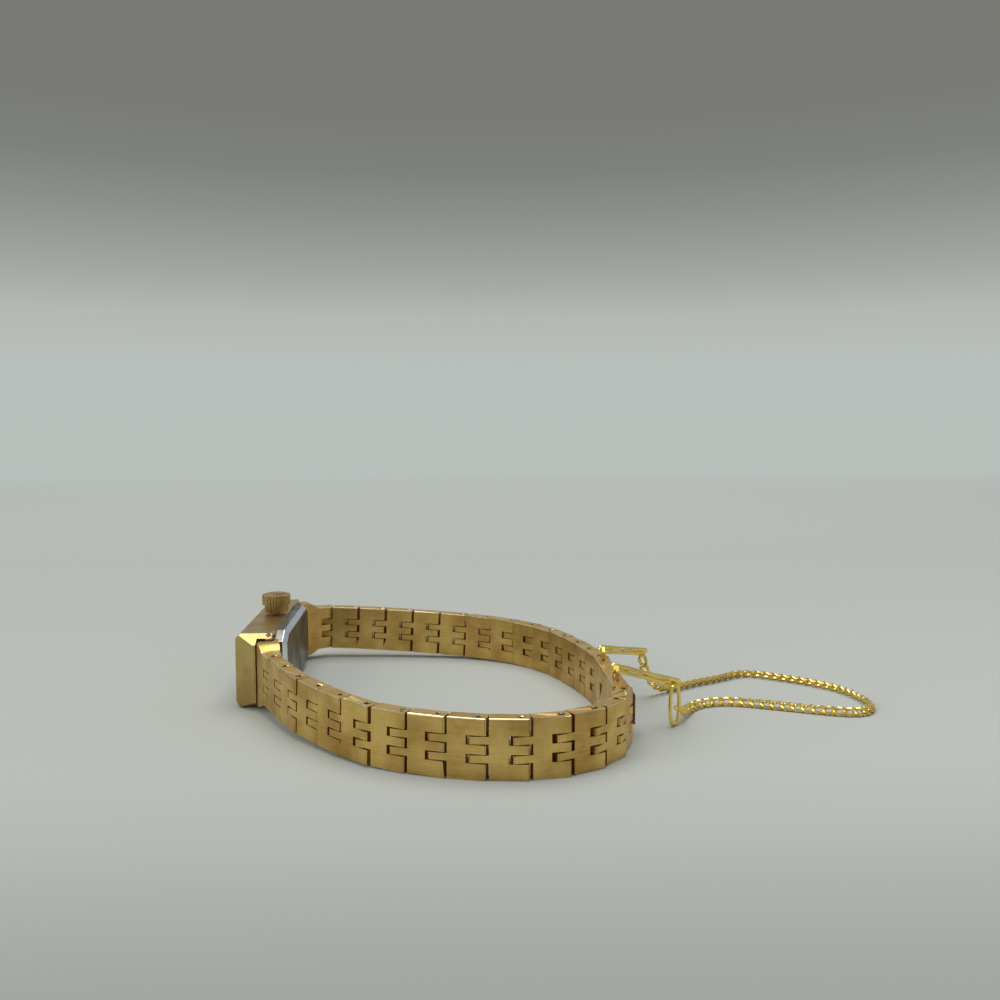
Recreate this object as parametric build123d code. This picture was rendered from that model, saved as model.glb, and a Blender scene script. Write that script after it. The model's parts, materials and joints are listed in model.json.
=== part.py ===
from build123d import *
import math
import os

# A small rectangular wristwatch, clasped and standing on the edge of its case and bracelet.
# Origin: centre of the outer face of the case back. +X points out of the back into the bracelet loop,
# +Y points to 12 o'clock and +Z to 3 o'clock, which is up. Lengths are in millimetres.
# Case and movement are drawn as a watchmaker sees them, dial up: x to 3 o'clock, y to 12 o'clock and
# z from the back to the dial. One placement then lays them on their side.

# Case
case_width = 9.8
case_length = 29.2
case_height = 6.5
back_height = 1.65
end_bevel = 2.4
corner_cut = 2.2
side_bevel = 0.7
cavity_width = 8.3
cavity_length = 18.6
dial_opening_width = 6.4
dial_opening_length = 17.0
bezel_lip = 0.9
lug_wall = 0.5
lug_depth = 4.2
hood_thickness = 0.6
back_width = 9.2
back_length = 22.4
back_floor = 0.5
back_bevel = 0.55
back_lip = 0.5
back_lip_wall = 0.3
snap_clearance = 0.05

# Spring bars
bar_height = 2.1
bar_inset = 1.9
bar_diameter = 1.2
bar_pivot_diameter = 0.7
bar_pivot_length = 0.4
bar_play = 0.34

# Crystal, dial and hands
crystal_thickness = 0.8
crystal_dome = 0.35
crystal_seat = 0.35
dial_thickness = 0.35
dial_height = 4.35
marker_height = 0.12
marker_width = 0.28
marker_length = 1.0
hand_thickness = 0.12
hour_hand_height = 4.85
minute_hand_height = 5.1
hour_hand_length = 1.9
minute_hand_length = 3.0
hand_width = 0.3
hand_hub = 0.5
hour_hand_heading = 50
minute_hand_heading = -60
cannon_radius = 0.32
hour_pipe_radius = 0.5

# Crown and stem
crown_lower_diameter = 3.4
crown_lower_length = 1.05
crown_upper_diameter = 4.0
crown_upper_length = 1.45
crown_teeth = 26
knurl_depth = 0.16
crown_gap = 0.3
crown_place_y = 1.2
stem_height = 3.25
stem_diameter = 0.8
stem_bore_play = 0.06
stem_inner_reach = 1.5
stem_groove_depth = 0.15
lever_thickness = 0.4
lever_width = 1.6
lever_play = 0.05
lever_place = 3.0

# Bearing holes are drawn with this many flats, which keep the full radius clear
hole_sides = 8

# Movement
movement_width = 7.2
movement_length = 17.8
plate_height = 2.7
plate_thickness = 1.15
bridge_height = 0.9
bridge_thickness = 0.45
bridge_gap = 0.12
bridge_split_y = 0.36
wheel_thickness = 0.18
pinion_length = 0.5
arbor_radius = 0.16
arbor_play = 0.03
mesh_play = 0.04
tooth_depth = 0.16
barrel_radius = 2.75
barrel_thickness = 0.85
barrel_teeth = 48
pinion_leaves = 8
crossing_sides = 16
third_heading = -55
fourth_heading = 205
escape_heading = -160
centre_pinion_radius = 0.5
centre_wheel_radius = 1.95
centre_teeth = 40
third_pinion_radius = 0.34
third_wheel_radius = 1.35
third_teeth = 32
fourth_pinion_radius = 0.32
fourth_wheel_radius = 1.2
fourth_teeth = 30
escape_pinion_radius = 0.3
escape_wheel_radius = 0.9
escape_teeth = 15
balance_radius = 1.9
balance_rim = 0.3
balance_thickness = 0.35
fork_length = 1.5
fork_width = 0.3
fork_thickness = 0.16
ratchet_radius = 1.5
crown_wheel_radius = 1.05
ratchet_thickness = 0.18
ratchet_teeth = 24
crown_wheel_teeth = 18
minute_wheel_radius = 1.1
minute_wheel_teeth = 24
screw_head_radius = 0.4
screw_head_height = 0.16

# Bracelet
band_width = 6.6
band_thickness = 1.95
link_pitch = 4.35
pin_setback = 1.1
joint_gap = 0.15
finger_reach = 1.0
slot_clearance = 0.2
finger_play = 0.08
relief_length = 0.28
relief_height = 0.55
edge_bevel = 0.14
hinge_pin_diameter = 0.7
hinge_hole_play = 0.14
pin_recess = 0.3
pin_seat_play = 0.01
zone_shares = (0.275, 0.15, 0.15, 0.15, 0.275)

# End pieces
end_width = 8.2
end_reach = 5.18
end_rise = 1.03
end_knuckle_radius = 1.15
end_shoulder = 1.3
end_flare_start = 1.5

# Clasp
clasp_span = 16.0
box_length = 9.2
box_wall = 0.3
box_cavity_start = 5.2
tongue_gap = 0.15
blade_width = 4.4
blade_length = 3.8
blade_thickness = 0.5
blade_tip_drop = 0.15
tab_width = 3.6
tab_length = 2.5
tab_height = 1.0
tab_rib_count = 3
tab_rib_depth = 0.25
tab_place = 2.6
window_length = 1.9
window_width = 2.6
eyelet_radius = 0.8
eyelet_wire = 0.2
eyelet_foot = 0.12
box_eyelet_place = 1.8
tongue_eyelet_place = 4.4

# Safety chain
chain_wire = 0.3
chain_link_length = 2.0
chain_link_width = 1.2
chain_link_play = 0.12
end_ring_width = 1.3
wire_link_wire = 0.26
wire_link_width = 1.3
jump_ring_length = 5.4
jump_ring_width = 2.3
jump_ring_wire = 0.34
hook_play = 0.08
eye_play = 0.3
ring_corner_share = 0.29
upright_limit = 20

overrun = 1.0

# How the bracelet turns at each joint, counted from the case, and how far it still lies above the table.
far_turn_shares = (27, 1, 1.5, 2.5, 3, 8, 12, 13, 13, 10, 5, 4, 3, 10)
near_turn_shares = (1, 3, 8, 1.5, 5.5, 14, 8, 6, 10, 15, 19, 20, 20, 22)
far_lift_shares = (0.95, 0.86, 0.74, 0.6, 0.45, 0.3, 0.17, 0.08, 0.03)
near_lift_shares = (0.9, 0.72, 0.53, 0.36, 0.23, 0.12, 0.05, 0.02)
far_exit_heading = 30
near_exit_heading = -57

# Where the chain lies, as the photograph shows it, from the tongue's jump ring round to the box's wire link:
# place in the row frame and height above the table.
chain_route = (
    (49.7, -23.4, 1.7),
    (51.4, -20.6, 0.8),
    (53.9, -17.5, 0.56),
    (57.4, -16.6, 0.56),
    (61.1, -17.6, 0.56),
    (65.5, -19.7, 0.56),
    (69.8, -21.7, 0.56),
    (73.6, -22.3, 0.56),
    (76.0, -19.6, 0.56),
    (76.3, -16.4, 0.56),
    (75.6, -12.6, 0.56),
    (72.6, -8.1, 0.56),
    (68.5, -4.5, 0.56),
    (64.7, -2.6, 0.56),
    (60.6, -4.7, 0.56),
    (56.5, -6.9, 0.56),
    (53.4, -8.9, 0.56),
    (51.4, -10.2, 0.7),
    (49.8, -11.1, 1.3),
    (48.6, -11.8, 2.6),
    (47.1, -12.7, 5.6),
)

band_half = band_width / 2
thick_half = band_thickness / 2
bar_y = case_length / 2 - bar_inset
table_z = -case_width / 2
band_lift = case_width / 2 - band_half
prong_reach = pin_setback - joint_gap
slot_reach = finger_reach + slot_clearance
blade_start = clasp_span - box_length - pin_setback - tongue_gap
case_place = Location((0, 0, 0), (0, -90, 0))


# Placing and saving


def save(name, *solids):
    """Writes one sub-part, whose pieces stay separate solids."""
    pieces = []
    for shape in solids:
        pieces.extend(shape.solids())
    result = pieces[0] if len(pieces) == 1 else Compound(children=pieces)
    result.label = name
    export_step(result, os.path.join("parts", name + ".step"))


def save_case(name, *solids):
    """Writes a sub-part of the case, laid on its side."""
    save(name, *[case_place * shape for shape in solids])


def block(x0, x1, y0, y1, z0, z1):
    """A box between two corners."""
    return Pos((x0 + x1) / 2, (y0 + y1) / 2, (z0 + z1) / 2) * Box(abs(x1 - x0), abs(y1 - y0), abs(z1 - z0))


def rod(x, y, z0, z1, radius):
    """A round rod that stands on z0."""
    return Pos(x, y, (z0 + z1) / 2) * Cylinder(radius, z1 - z0)


def drill(x, y, z0, z1, radius):
    """What a bearing hole removes: a prism with flats at the radius, so that repeated holes stay light."""
    return Pos(x, y, z0) * extrude(RegularPolygon(radius, hole_sides, major_radius=False), z1 - z0)


def polygon_prism(points, z0, z1):
    """An outline in the xy plane, raised from z0 to z1."""
    face = make_face(Polyline(*points, close=True))
    return Pos(0, 0, z0) * extrude(face, z1 - z0, dir=(0, 0, 1))


def cut_corner_outline(width, length, cut_x, cut_y):
    """A rectangle with its four corners cut off."""
    x = width / 2
    y = length / 2
    return [
        (x - cut_x, -y),
        (x, -y + cut_y),
        (x, y - cut_y),
        (x - cut_x, y),
        (-x + cut_x, y),
        (-x, y - cut_y),
        (-x, -y + cut_y),
        (-x + cut_x, -y),
    ]


def toothed_disc(radius, teeth, depth, thickness):
    """A wheel blank with pointed teeth, standing on z = 0."""
    points = []
    for half_step in range(2 * teeth):
        angle = half_step * math.pi / teeth
        reach = radius - depth * (half_step % 2)
        points.append((reach * math.cos(angle), reach * math.sin(angle)))
    return polygon_prism(points, 0, thickness)


# Case, back and crystal


def case_outline_body():
    """The gold case body with cut corners and a 45 degree bevel at each end."""
    cut = corner_cut * 0.5
    outline = cut_corner_outline(case_width, case_length, cut, corner_cut)
    body = polygon_prism(outline, back_height, case_height)
    y = case_length / 2
    for side in (1, -1):
        edge = [
            (side * (y - end_bevel), case_height),
            (side * y, case_height - end_bevel * 1.08),
            (side * (y + overrun), case_height - end_bevel * 1.08),
            (side * (y + overrun), case_height + overrun),
            (side * (y - end_bevel), case_height + overrun),
        ]
        face = make_face(Polyline(*[(0, p[0], p[1]) for p in edge], close=True))
        body -= extrude(face, case_width, both=True)
    return body


def make_mid_case():
    """The case body: side bevels, movement cavity, dial opening, lug recesses, bar holes and stem hole."""
    body = case_outline_body()
    rim = body.edges().filter_by(Axis.Y).group_by(Axis.Z)[-1]
    body = chamfer(rim, side_bevel)
    half_w = cavity_width / 2
    half_l = cavity_length / 2
    inner_top = case_height - bezel_lip
    body -= block(-half_w, half_w, -half_l, half_l, back_height - overrun, inner_top)
    half_dw = dial_opening_width / 2
    half_dl = dial_opening_length / 2
    body -= block(-half_dw, half_dw, -half_dl, half_dl, inner_top - overrun, case_height + overrun)
    recess_half = case_width / 2 - lug_wall
    y = case_length / 2
    recess_top = case_height - end_bevel - hood_thickness
    for side in (1, -1):
        recess = block(
            -recess_half,
            recess_half,
            side * (y - lug_depth),
            side * (y + overrun),
            back_height - overrun,
            recess_top,
        )
        body -= recess
        hole = Pos(0, side * bar_y, bar_height) * Rot(0, 90, 0)
        body -= hole * Cylinder(bar_pivot_diameter / 2, case_width + 2 * overrun)
    stem_hole = Pos(case_width / 2, crown_place_y, stem_height) * Rot(0, 90, 0)
    body -= stem_hole * Cylinder(stem_diameter / 2 + stem_bore_play, case_width - cavity_width + overrun)
    return body


def make_case_back():
    """The steel snap-on back: a flat plate with a bevelled rim and a lip inside the case body."""
    outline = cut_corner_outline(back_width, back_length, corner_cut * 0.5, corner_cut)
    plate = polygon_prism(outline, 0, back_height)
    plate = chamfer(plate.faces().sort_by(Axis.Z)[0].edges(), back_bevel)
    half_w = cavity_width / 2 - snap_clearance
    half_l = cavity_length / 2 - snap_clearance
    lip = block(-half_w, half_w, -half_l, half_l, back_height, back_height + back_lip)
    inner_w = half_w - back_lip_wall
    inner_l = half_l - back_lip_wall
    hollow = block(-inner_w, inner_w, -inner_l, inner_l, back_floor, back_height + back_lip + overrun)
    return plate + lip - hollow


def make_crystal():
    """The crystal, seated in the bezel and domed across."""
    half_w = dial_opening_width / 2
    half_l = dial_opening_length / 2
    low = case_height - bezel_lip
    slab = block(-half_w, half_w, -half_l, half_l, low, low + crystal_thickness)
    seat_w = half_w + crystal_seat
    seat_l = half_l + crystal_seat
    flange = block(-seat_w, seat_w, -seat_l, seat_l, low - crystal_seat, low)
    arc = ThreePointArc(
        (-half_w, 0, low + crystal_thickness),
        (0, 0, low + crystal_thickness + crystal_dome),
        (half_w, 0, low + crystal_thickness),
    )
    chord = Line((half_w, 0, low + crystal_thickness), (-half_w, 0, low + crystal_thickness))
    dome = extrude(make_face(arc + chord), half_l, both=True)
    return slab + flange + dome


def make_spring_bar():
    """One spring bar: a tube with a thin pivot at each end, along x."""
    reach = case_width / 2 - lug_wall
    tube = Rot(0, 90, 0) * Cylinder(bar_diameter / 2, 2 * reach)
    pivots = Rot(0, 90, 0) * Cylinder(bar_pivot_diameter / 2, 2 * (reach + bar_pivot_length))
    return tube + pivots


# Dial and hands


def make_dial():
    """The dial plate with its hour markers and centre hole."""
    half_w = cavity_width / 2 - snap_clearance * 2
    half_l = cavity_length / 2 - snap_clearance * 2
    dial = block(-half_w, half_w, -half_l, half_l, dial_height, dial_height + dial_thickness)
    top = dial_height + dial_thickness
    dial -= drill(0, 0, dial_height - overrun, top + overrun, hour_pipe_radius + arbor_play)
    edge_x = dial_opening_width / 2 - marker_length * 0.9
    edge_y = dial_opening_length / 2 - marker_length * 0.9
    for hour in range(12):
        angle = math.pi / 2 - math.tau * hour / 12
        across, along = math.cos(angle), math.sin(angle)
        reach = 1 / max(abs(across) / edge_x, abs(along) / edge_y)
        x = reach * across
        y = reach * along
        marker = Rot(0, 0, math.degrees(angle)) * Box(marker_length, marker_width, marker_height)
        dial += Pos(x, y, top + marker_height / 2) * marker
    return dial


def make_hand(length, hub_radius, bore_radius, height):
    """A tapered hand with its hub, pointing to +y."""
    half = hand_width / 2
    tip = half / 4
    blade = polygon_prism([(-half, 0), (half, 0), (tip, length), (-tip, length)], 0, hand_thickness)
    hub = drill(0, 0, 0, hand_thickness, hub_radius)
    return Pos(0, 0, height) * (blade + hub - drill(0, 0, -overrun, overrun, bore_radius))


def make_hour_hand():
    """The hour hand on its wheel's pipe, with the hour wheel under the dial."""
    hand = make_hand(hour_hand_length, hand_hub + hand_width / 2, hour_pipe_radius, hour_hand_height)
    base = plate_height + plate_thickness + arbor_play * 2
    wheel = toothed_disc(minute_wheel_radius * 1.15, minute_wheel_teeth, tooth_depth, wheel_thickness)
    pipe = rod(0, 0, base, hour_hand_height + hand_thickness, hour_pipe_radius)
    result = hand + pipe + Pos(0, 0, base) * wheel
    bore = cannon_radius + arbor_play
    hole = drill(0, 0, base - overrun, hour_hand_height + overrun, bore)
    return Rot(0, 0, hour_hand_heading) * (result - hole)


def make_minute_hand():
    """The minute hand on the cannon pinion's pipe."""
    hand = make_hand(minute_hand_length, hand_hub, cannon_radius, minute_hand_height)
    low = plate_height + plate_thickness + arbor_play
    pipe = rod(0, 0, low, minute_hand_height + hand_thickness, cannon_radius)
    result = hand + pipe
    bore = arbor_radius + arbor_play
    hole = drill(0, 0, low - overrun, minute_hand_height - hand_thickness, bore)
    return Rot(0, 0, minute_hand_heading) * (result - hole)


# Crown, stem and setting lever


def on_stem_axis(shape):
    """Turns a shape that stands on z so that it lies along the stem axis."""
    return Pos(0, crown_place_y, stem_height) * Rot(0, 90, 0) * shape


def make_crown():
    """The knurled crown with its two tiers and rounded top."""
    low = case_width / 2 + crown_gap
    lower = toothed_disc(crown_lower_diameter / 2, crown_teeth, knurl_depth, crown_lower_length)
    upper = toothed_disc(crown_upper_diameter / 2, crown_teeth, knurl_depth, crown_upper_length)
    cap_radius = crown_upper_diameter / 2 - knurl_depth * 1.5
    cap = Pos(0, 0, crown_lower_length + crown_upper_length) * Cone(
        cap_radius, cap_radius * 0.8, knurl_depth, align=(Align.CENTER, Align.CENTER, Align.MIN)
    )
    crown = lower + Pos(0, 0, crown_lower_length) * upper + cap
    bore = Cylinder(stem_diameter / 2, crown_lower_length, align=(Align.CENTER, Align.CENTER, Align.MIN))
    return on_stem_axis(Pos(0, 0, low) * (crown - bore))


def make_stem():
    """The winding stem, with the groove that the setting lever holds."""
    top = case_width / 2 + crown_gap + crown_lower_length
    stem = rod(0, 0, stem_inner_reach, top, stem_diameter / 2)
    ring = rod(0, 0, lever_place, lever_place + lever_thickness + 2 * lever_play, stem_diameter)
    ring -= rod(0, 0, -overrun, top + overrun, stem_diameter / 2 - stem_groove_depth)
    return on_stem_axis(stem - ring)


def make_setting_lever():
    """The setting lever that follows the stem in and out and holds its groove."""
    half = lever_width / 2
    low = lever_place + lever_play
    slot_half = stem_diameter / 2 - stem_groove_depth + lever_play
    plate = block(-slot_half - half * 0.5, half, -half, half, 0, lever_thickness)
    slot = block(-lever_width, 0, -slot_half, slot_half, -overrun, overrun)
    eye = rod(0, 0, -overrun, overrun, slot_half)
    return on_stem_axis(Pos(0, 0, low) * (plate - slot - eye))


# Movement


def beside(place, reach, heading):
    """The point at a distance and heading from another."""
    angle = math.radians(heading)
    return place[0] + reach * math.cos(angle), place[1] + reach * math.sin(angle)


def train_places():
    """Where the arbors of the movement stand, from the mesh distances."""
    barrel_y = barrel_radius + centre_pinion_radius
    third_reach = centre_wheel_radius + third_pinion_radius
    third = beside((0, 0), third_reach, third_heading)
    fourth_reach = third_wheel_radius + fourth_pinion_radius
    fourth = beside(third, fourth_reach, fourth_heading)
    escape_reach = fourth_wheel_radius + escape_pinion_radius
    escape = beside(fourth, escape_reach, escape_heading)
    balance_y = -movement_length / 2 + balance_radius + wheel_thickness
    return {
        "barrel": (0, barrel_y),
        "centre": (0, 0),
        "third": third,
        "fourth": fourth,
        "escape": escape,
        "balance": (0, balance_y),
        "crown_wheel": (0, barrel_y - ratchet_radius - crown_wheel_radius),
    }


places = train_places()
under_bridge = bridge_height + bridge_thickness
gear_low = under_bridge + bridge_gap
wheel_low = gear_low
wheel_high = plate_height - bridge_gap - wheel_thickness
wheel_mid = (wheel_low + wheel_high) / 2 + wheel_thickness
pinion_low = wheel_low
pinion_mid = wheel_high - pinion_length - mesh_play
pinion_high = plate_height - mesh_play - pinion_length
in_plate = plate_height + plate_thickness / 2
in_cannon = minute_hand_height - 2 * hand_thickness


def arbor_holes(shape, names, low, high, extra):
    """Cuts bearing holes for the named arbors."""
    for name in names:
        x, y = places[name]
        shape -= drill(x, y, low - overrun, high + overrun, arbor_radius + extra)
    return shape


def make_main_plate():
    """The main plate: bearing holes, a channel for the stem and a recess for the setting lever."""
    outline = cut_corner_outline(movement_width, movement_length, movement_width / 5, movement_width / 5)
    top = plate_height + plate_thickness
    plate = polygon_prism(outline, plate_height, top)
    half = movement_width / 2
    slot_half = stem_diameter / 2 + stem_bore_play
    plate -= block(
        stem_inner_reach - overrun,
        half + overrun,
        crown_place_y - slot_half,
        crown_place_y + slot_half,
        plate_height - overrun,
        top,
    )
    plate -= block(
        lever_place - lever_thickness,
        half + overrun,
        crown_place_y - lever_width,
        crown_place_y + lever_width,
        plate_height - overrun,
        top + overrun,
    )
    names = ("barrel", "centre", "third", "fourth", "escape", "balance")
    plate = arbor_holes(plate, names, plate_height, top, arbor_play)
    for side in (1, -1):
        near_y = side * (movement_length / 2 - plate_thickness)
        far_y = side * (cavity_length / 2 - snap_clearance)
        plate += block(-movement_width / 6, movement_width / 6, near_y, far_y, plate_height, top)
    hole_y = -minute_wheel_reach()
    return plate - drill(0, hole_y, top - plate_thickness / 2, top + overrun, arbor_radius + arbor_play)


def pillar(x, y, radius):
    """A pillar from a bridge down to the main plate, with the same flats as the holes."""
    return drill(x, y, under_bridge, plate_height, radius)


def make_barrel_bridge():
    """The bridge over the barrel."""
    half = movement_width / 2
    top = movement_length / 2
    cut = movement_width / 5
    low_y = bridge_split_y
    outline = [
        (half, low_y),
        (half, top - cut),
        (half - cut, top),
        (-half + cut, top),
        (-half, top - cut),
        (-half, low_y),
    ]
    bridge = polygon_prism(outline, bridge_height, under_bridge)
    bridge = arbor_holes(bridge, ("barrel",), bridge_height, under_bridge, arbor_play)
    x, y = places["crown_wheel"]
    bridge -= drill(x, y, bridge_height - overrun, under_bridge + overrun, arbor_radius + arbor_play)
    for side in (1, -1):
        bridge += pillar(side * (half - cut * 0.8), top - cut * 0.85, cut * 0.5)
    return bridge


def make_train_bridge():
    """The bridge over the centre, third, fourth and escape wheels."""
    half = movement_width / 2
    high_y = bridge_split_y - bridge_gap
    low_y = places["balance"][1] + balance_radius + bridge_gap
    outline = [(half, high_y), (-half, high_y), (-half, low_y), (half, low_y)]
    bridge = polygon_prism(outline, bridge_height, under_bridge)
    names = ("centre", "third", "fourth", "escape")
    bridge = arbor_holes(bridge, names, bridge_height, under_bridge, arbor_play)
    foot = movement_width / 16
    bridge += pillar(-half + foot, -foot * 2, foot)
    bridge += pillar(half - foot, low_y + foot, foot)
    return bridge


def make_balance_cock():
    """The cock over the balance, on one foot at the end of the plate."""
    x, y = places["balance"]
    half = movement_width / 2
    low_y = -movement_length / 2
    arm_half = movement_width / 9
    corner = movement_width / 5
    outline = [
        (-half, low_y + corner),
        (-half + corner, low_y),
        (x - arm_half, low_y),
        (x + arm_half * 1.4, y - arm_half),
        (x + arm_half * 1.4, y + arm_half),
        (x - arm_half * 2, y + arm_half * 1.2),
        (-half, y + arm_half * 1.2),
    ]
    cock = polygon_prism(outline, bridge_height, under_bridge)
    foot = (half - balance_radius) * 0.42
    cock += pillar(-half + foot, y, foot)
    return arbor_holes(cock, ("balance",), bridge_height, under_bridge, arbor_play)


def screw_places():
    """Where the movement's screws stand: bridges, cock and train bridge."""
    half = movement_width / 2
    cut = movement_width / 5
    foot = movement_width / 16
    top = movement_length / 2
    low_y = places["balance"][1] + balance_radius + bridge_gap
    cock_foot = (half - balance_radius) * 0.42
    return [
        (half - cut * 0.8, top - cut * 0.85),
        (-half + cut * 0.8, top - cut * 0.85),
        (-half + foot, -foot * 2),
        (half - foot, low_y + foot),
        (-half + cock_foot, places["balance"][1]),
    ]


def make_screws():
    """The bridge screws, with slotted heads that stand on the bridges."""
    screws = []
    for x, y in screw_places():
        head = drill(x, y, bridge_height - screw_head_height, bridge_height, screw_head_radius)
        slot = block(
            x - screw_head_radius * 2,
            x + screw_head_radius * 2,
            y - screw_head_height / 3,
            y + screw_head_height / 3,
            bridge_height - screw_head_height * 2,
            bridge_height - screw_head_height / 2,
        )
        screws.append(head - slot)
    return screws


def wheel_with_spokes(radius, teeth, hub_radius):
    """A thin train wheel: toothed rim, four crossings and a hub."""
    wheel = toothed_disc(radius, teeth, tooth_depth, wheel_thickness)
    inner = radius - tooth_depth * 2.2
    ring = extrude(RegularPolygon(inner, crossing_sides), overrun, both=True)
    ring -= drill(0, 0, -overrun, overrun, hub_radius)
    arm = tooth_depth * 0.8
    ring -= block(-radius, radius, -arm, arm, -overrun, overrun)
    ring -= block(-arm, arm, -radius, radius, -overrun, overrun)
    return wheel - ring


def make_train_wheel(name, radius, teeth, pinion_radius, wheel_z, pinion_z, arbor_top):
    """A wheel and its pinion on one arbor, at its place in the train."""
    x, y = places[name]
    wheel = Pos(0, 0, wheel_z) * wheel_with_spokes(radius - mesh_play, teeth, pinion_radius)
    leaf_depth = (pinion_radius - mesh_play - arbor_radius) / 2
    pinion = toothed_disc(pinion_radius - mesh_play, pinion_leaves, leaf_depth, pinion_length)
    arbor = rod(0, 0, bridge_height + arbor_play, arbor_top, arbor_radius)
    return Pos(x, y, 0) * (wheel + Pos(0, 0, pinion_z) * pinion + arbor)


def make_barrel():
    """The mainspring barrel with its toothed rim, lid step and arbor."""
    x, y = places["barrel"]
    rim = toothed_disc(barrel_radius - mesh_play, barrel_teeth, tooth_depth, barrel_thickness / 3)
    drum = rod(0, 0, 0, barrel_thickness, barrel_radius - tooth_depth - mesh_play * 2)
    arbor_low = bridge_height - ratchet_thickness - gear_low
    arbor = rod(0, 0, arbor_low, in_plate - gear_low, arbor_radius)
    body = Pos(0, 0, barrel_thickness * 2 / 3) * rim + drum
    return Pos(x, y, gear_low) * (body + arbor)


def make_ratchet(name, radius, teeth):
    """A flat winding wheel on top of the barrel bridge."""
    x, y = places[name]
    wheel = toothed_disc(radius - mesh_play, teeth, tooth_depth, ratchet_thickness - arbor_play)
    wheel -= drill(0, 0, -overrun, overrun, arbor_radius + arbor_play)
    return Pos(x, y, bridge_height - ratchet_thickness) * wheel


def make_crown_wheel():
    """The crown wheel with the boss that it turns on."""
    x, y = places["crown_wheel"]
    thickness = ratchet_thickness - arbor_play
    wheel = toothed_disc(crown_wheel_radius - mesh_play, crown_wheel_teeth, tooth_depth, thickness)
    boss = rod(0, 0, 0, ratchet_thickness + bridge_thickness, arbor_radius)
    return Pos(x, y, bridge_height - ratchet_thickness) * (wheel + boss)


def fork_place():
    """The pallet fork's pivot, between the escape wheel and the balance."""
    ex, ey = places["escape"]
    bx, by = places["balance"]
    reach = math.hypot(bx - ex, by - ey)
    share = (escape_wheel_radius + fork_width) / reach
    return ex + (bx - ex) * share, ey + (by - ey) * share, math.degrees(math.atan2(by - ey, bx - ex))


def make_pallet_fork():
    """The pallet fork: a lever with two arms at the escape wheel."""
    x, y, heading = fork_place()
    reach = fork_length * 0.5
    lever = block(0, reach, -fork_width / 4, fork_width / 4, 0, fork_thickness)
    arms = block(-fork_width / 3, fork_width / 3, -fork_length / 2, fork_length / 2, 0, fork_thickness)
    arbor = rod(0, 0, -wheel_thickness, wheel_thickness * 2, arbor_radius * 0.8)
    z = plate_height - wheel_thickness * 3.4
    return Pos(x, y, z) * Rot(0, 0, heading) * (lever + arms + arbor)


def make_balance():
    """The balance wheel with its staff and roller."""
    x, y = places["balance"]
    rim = rod(0, 0, 0, balance_thickness, balance_radius - mesh_play)
    rim -= rod(0, 0, -overrun, overrun, balance_radius - balance_rim)
    half = balance_rim / 2
    reach = balance_radius - half
    arm = block(-reach, reach, -half, half, 0, balance_thickness / 2)
    low = bridge_height + arbor_play
    z = gear_low + balance_thickness
    staff = rod(0, 0, low - z, in_plate - z, arbor_radius)
    return Pos(x, y, z) * (rim + arm + staff)


def minute_wheel_reach():
    """How far the minute wheel stands from the centre, in mesh with the hour wheel."""
    return minute_wheel_radius * 2.15 + mesh_play


def make_minute_wheel():
    """The minute wheel of the motion work, between the plate and the dial."""
    base = plate_height + plate_thickness + arbor_play
    wheel = toothed_disc(minute_wheel_radius - mesh_play, minute_wheel_teeth, tooth_depth, wheel_thickness)
    post = rod(0, 0, -plate_thickness / 3, wheel_thickness, arbor_radius)
    return Pos(0, -minute_wheel_reach(), base) * (wheel + post)


# Bracelet route


def step(point, heading, reach, drop):
    """The next pin, one link further along the band."""
    flat = math.sqrt(max(reach * reach - drop * drop, 0))
    angle = math.radians(heading)
    return point[0] + flat * math.cos(angle), point[1] + flat * math.sin(angle), point[2] - drop


def arm_route(side, exit_heading, turn_scale):
    """Pins and headings of one arm, from the spring bar to the clasp: side 1 is far, -1 near."""
    turns = far_turn_shares if side > 0 else near_turn_shares
    lifts = far_lift_shares if side > 0 else near_lift_shares
    heights = [band_lift * share - band_lift for share in (1,) + lifts] + [-band_lift] * len(turns)
    chord = math.hypot(end_reach, end_rise)
    chord_heading = exit_heading + side * math.degrees(math.atan2(end_rise, end_reach))
    pins = [(-bar_height, side * bar_y, 0)]
    pins.append(step(pins[0], chord_heading, chord, heights[0] - heights[1]))
    heading = exit_heading
    headings = [exit_heading]
    for number, turn in enumerate(turns):
        heading -= side * turn * turn_scale
        headings.append(heading)
        if number < len(turns) - 1:
            pins.append(step(pins[-1], heading, link_pitch, heights[number + 1] - heights[number + 2]))
    return pins, headings


def closing_error(values):
    """How far the two halves of the clasp are from meeting: two lengths and an angle."""
    far_pins, far_headings = arm_route(1, values[0], values[2])
    near_pins, near_headings = arm_route(-1, values[1], values[2])
    meet = step(far_pins[-1], far_headings[-1], clasp_span, 0)
    turn = near_headings[-1] - 180 - far_headings[-1]
    return meet[0] - near_pins[-1][0], meet[1] - near_pins[-1][1], turn


def solve_three(rows, right):
    """Three equations with three unknowns, by determinants."""

    def determinant(m):
        return (
            m[0][0] * (m[1][1] * m[2][2] - m[1][2] * m[2][1])
            - m[0][1] * (m[1][0] * m[2][2] - m[1][2] * m[2][0])
            + m[0][2] * (m[1][0] * m[2][1] - m[1][1] * m[2][0])
        )

    whole = determinant(rows)
    result = []
    for column in range(3):
        swapped = [[right[r] if c == column else rows[r][c] for c in range(3)] for r in range(3)]
        result.append(determinant(swapped) / whole)
    return result


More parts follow.
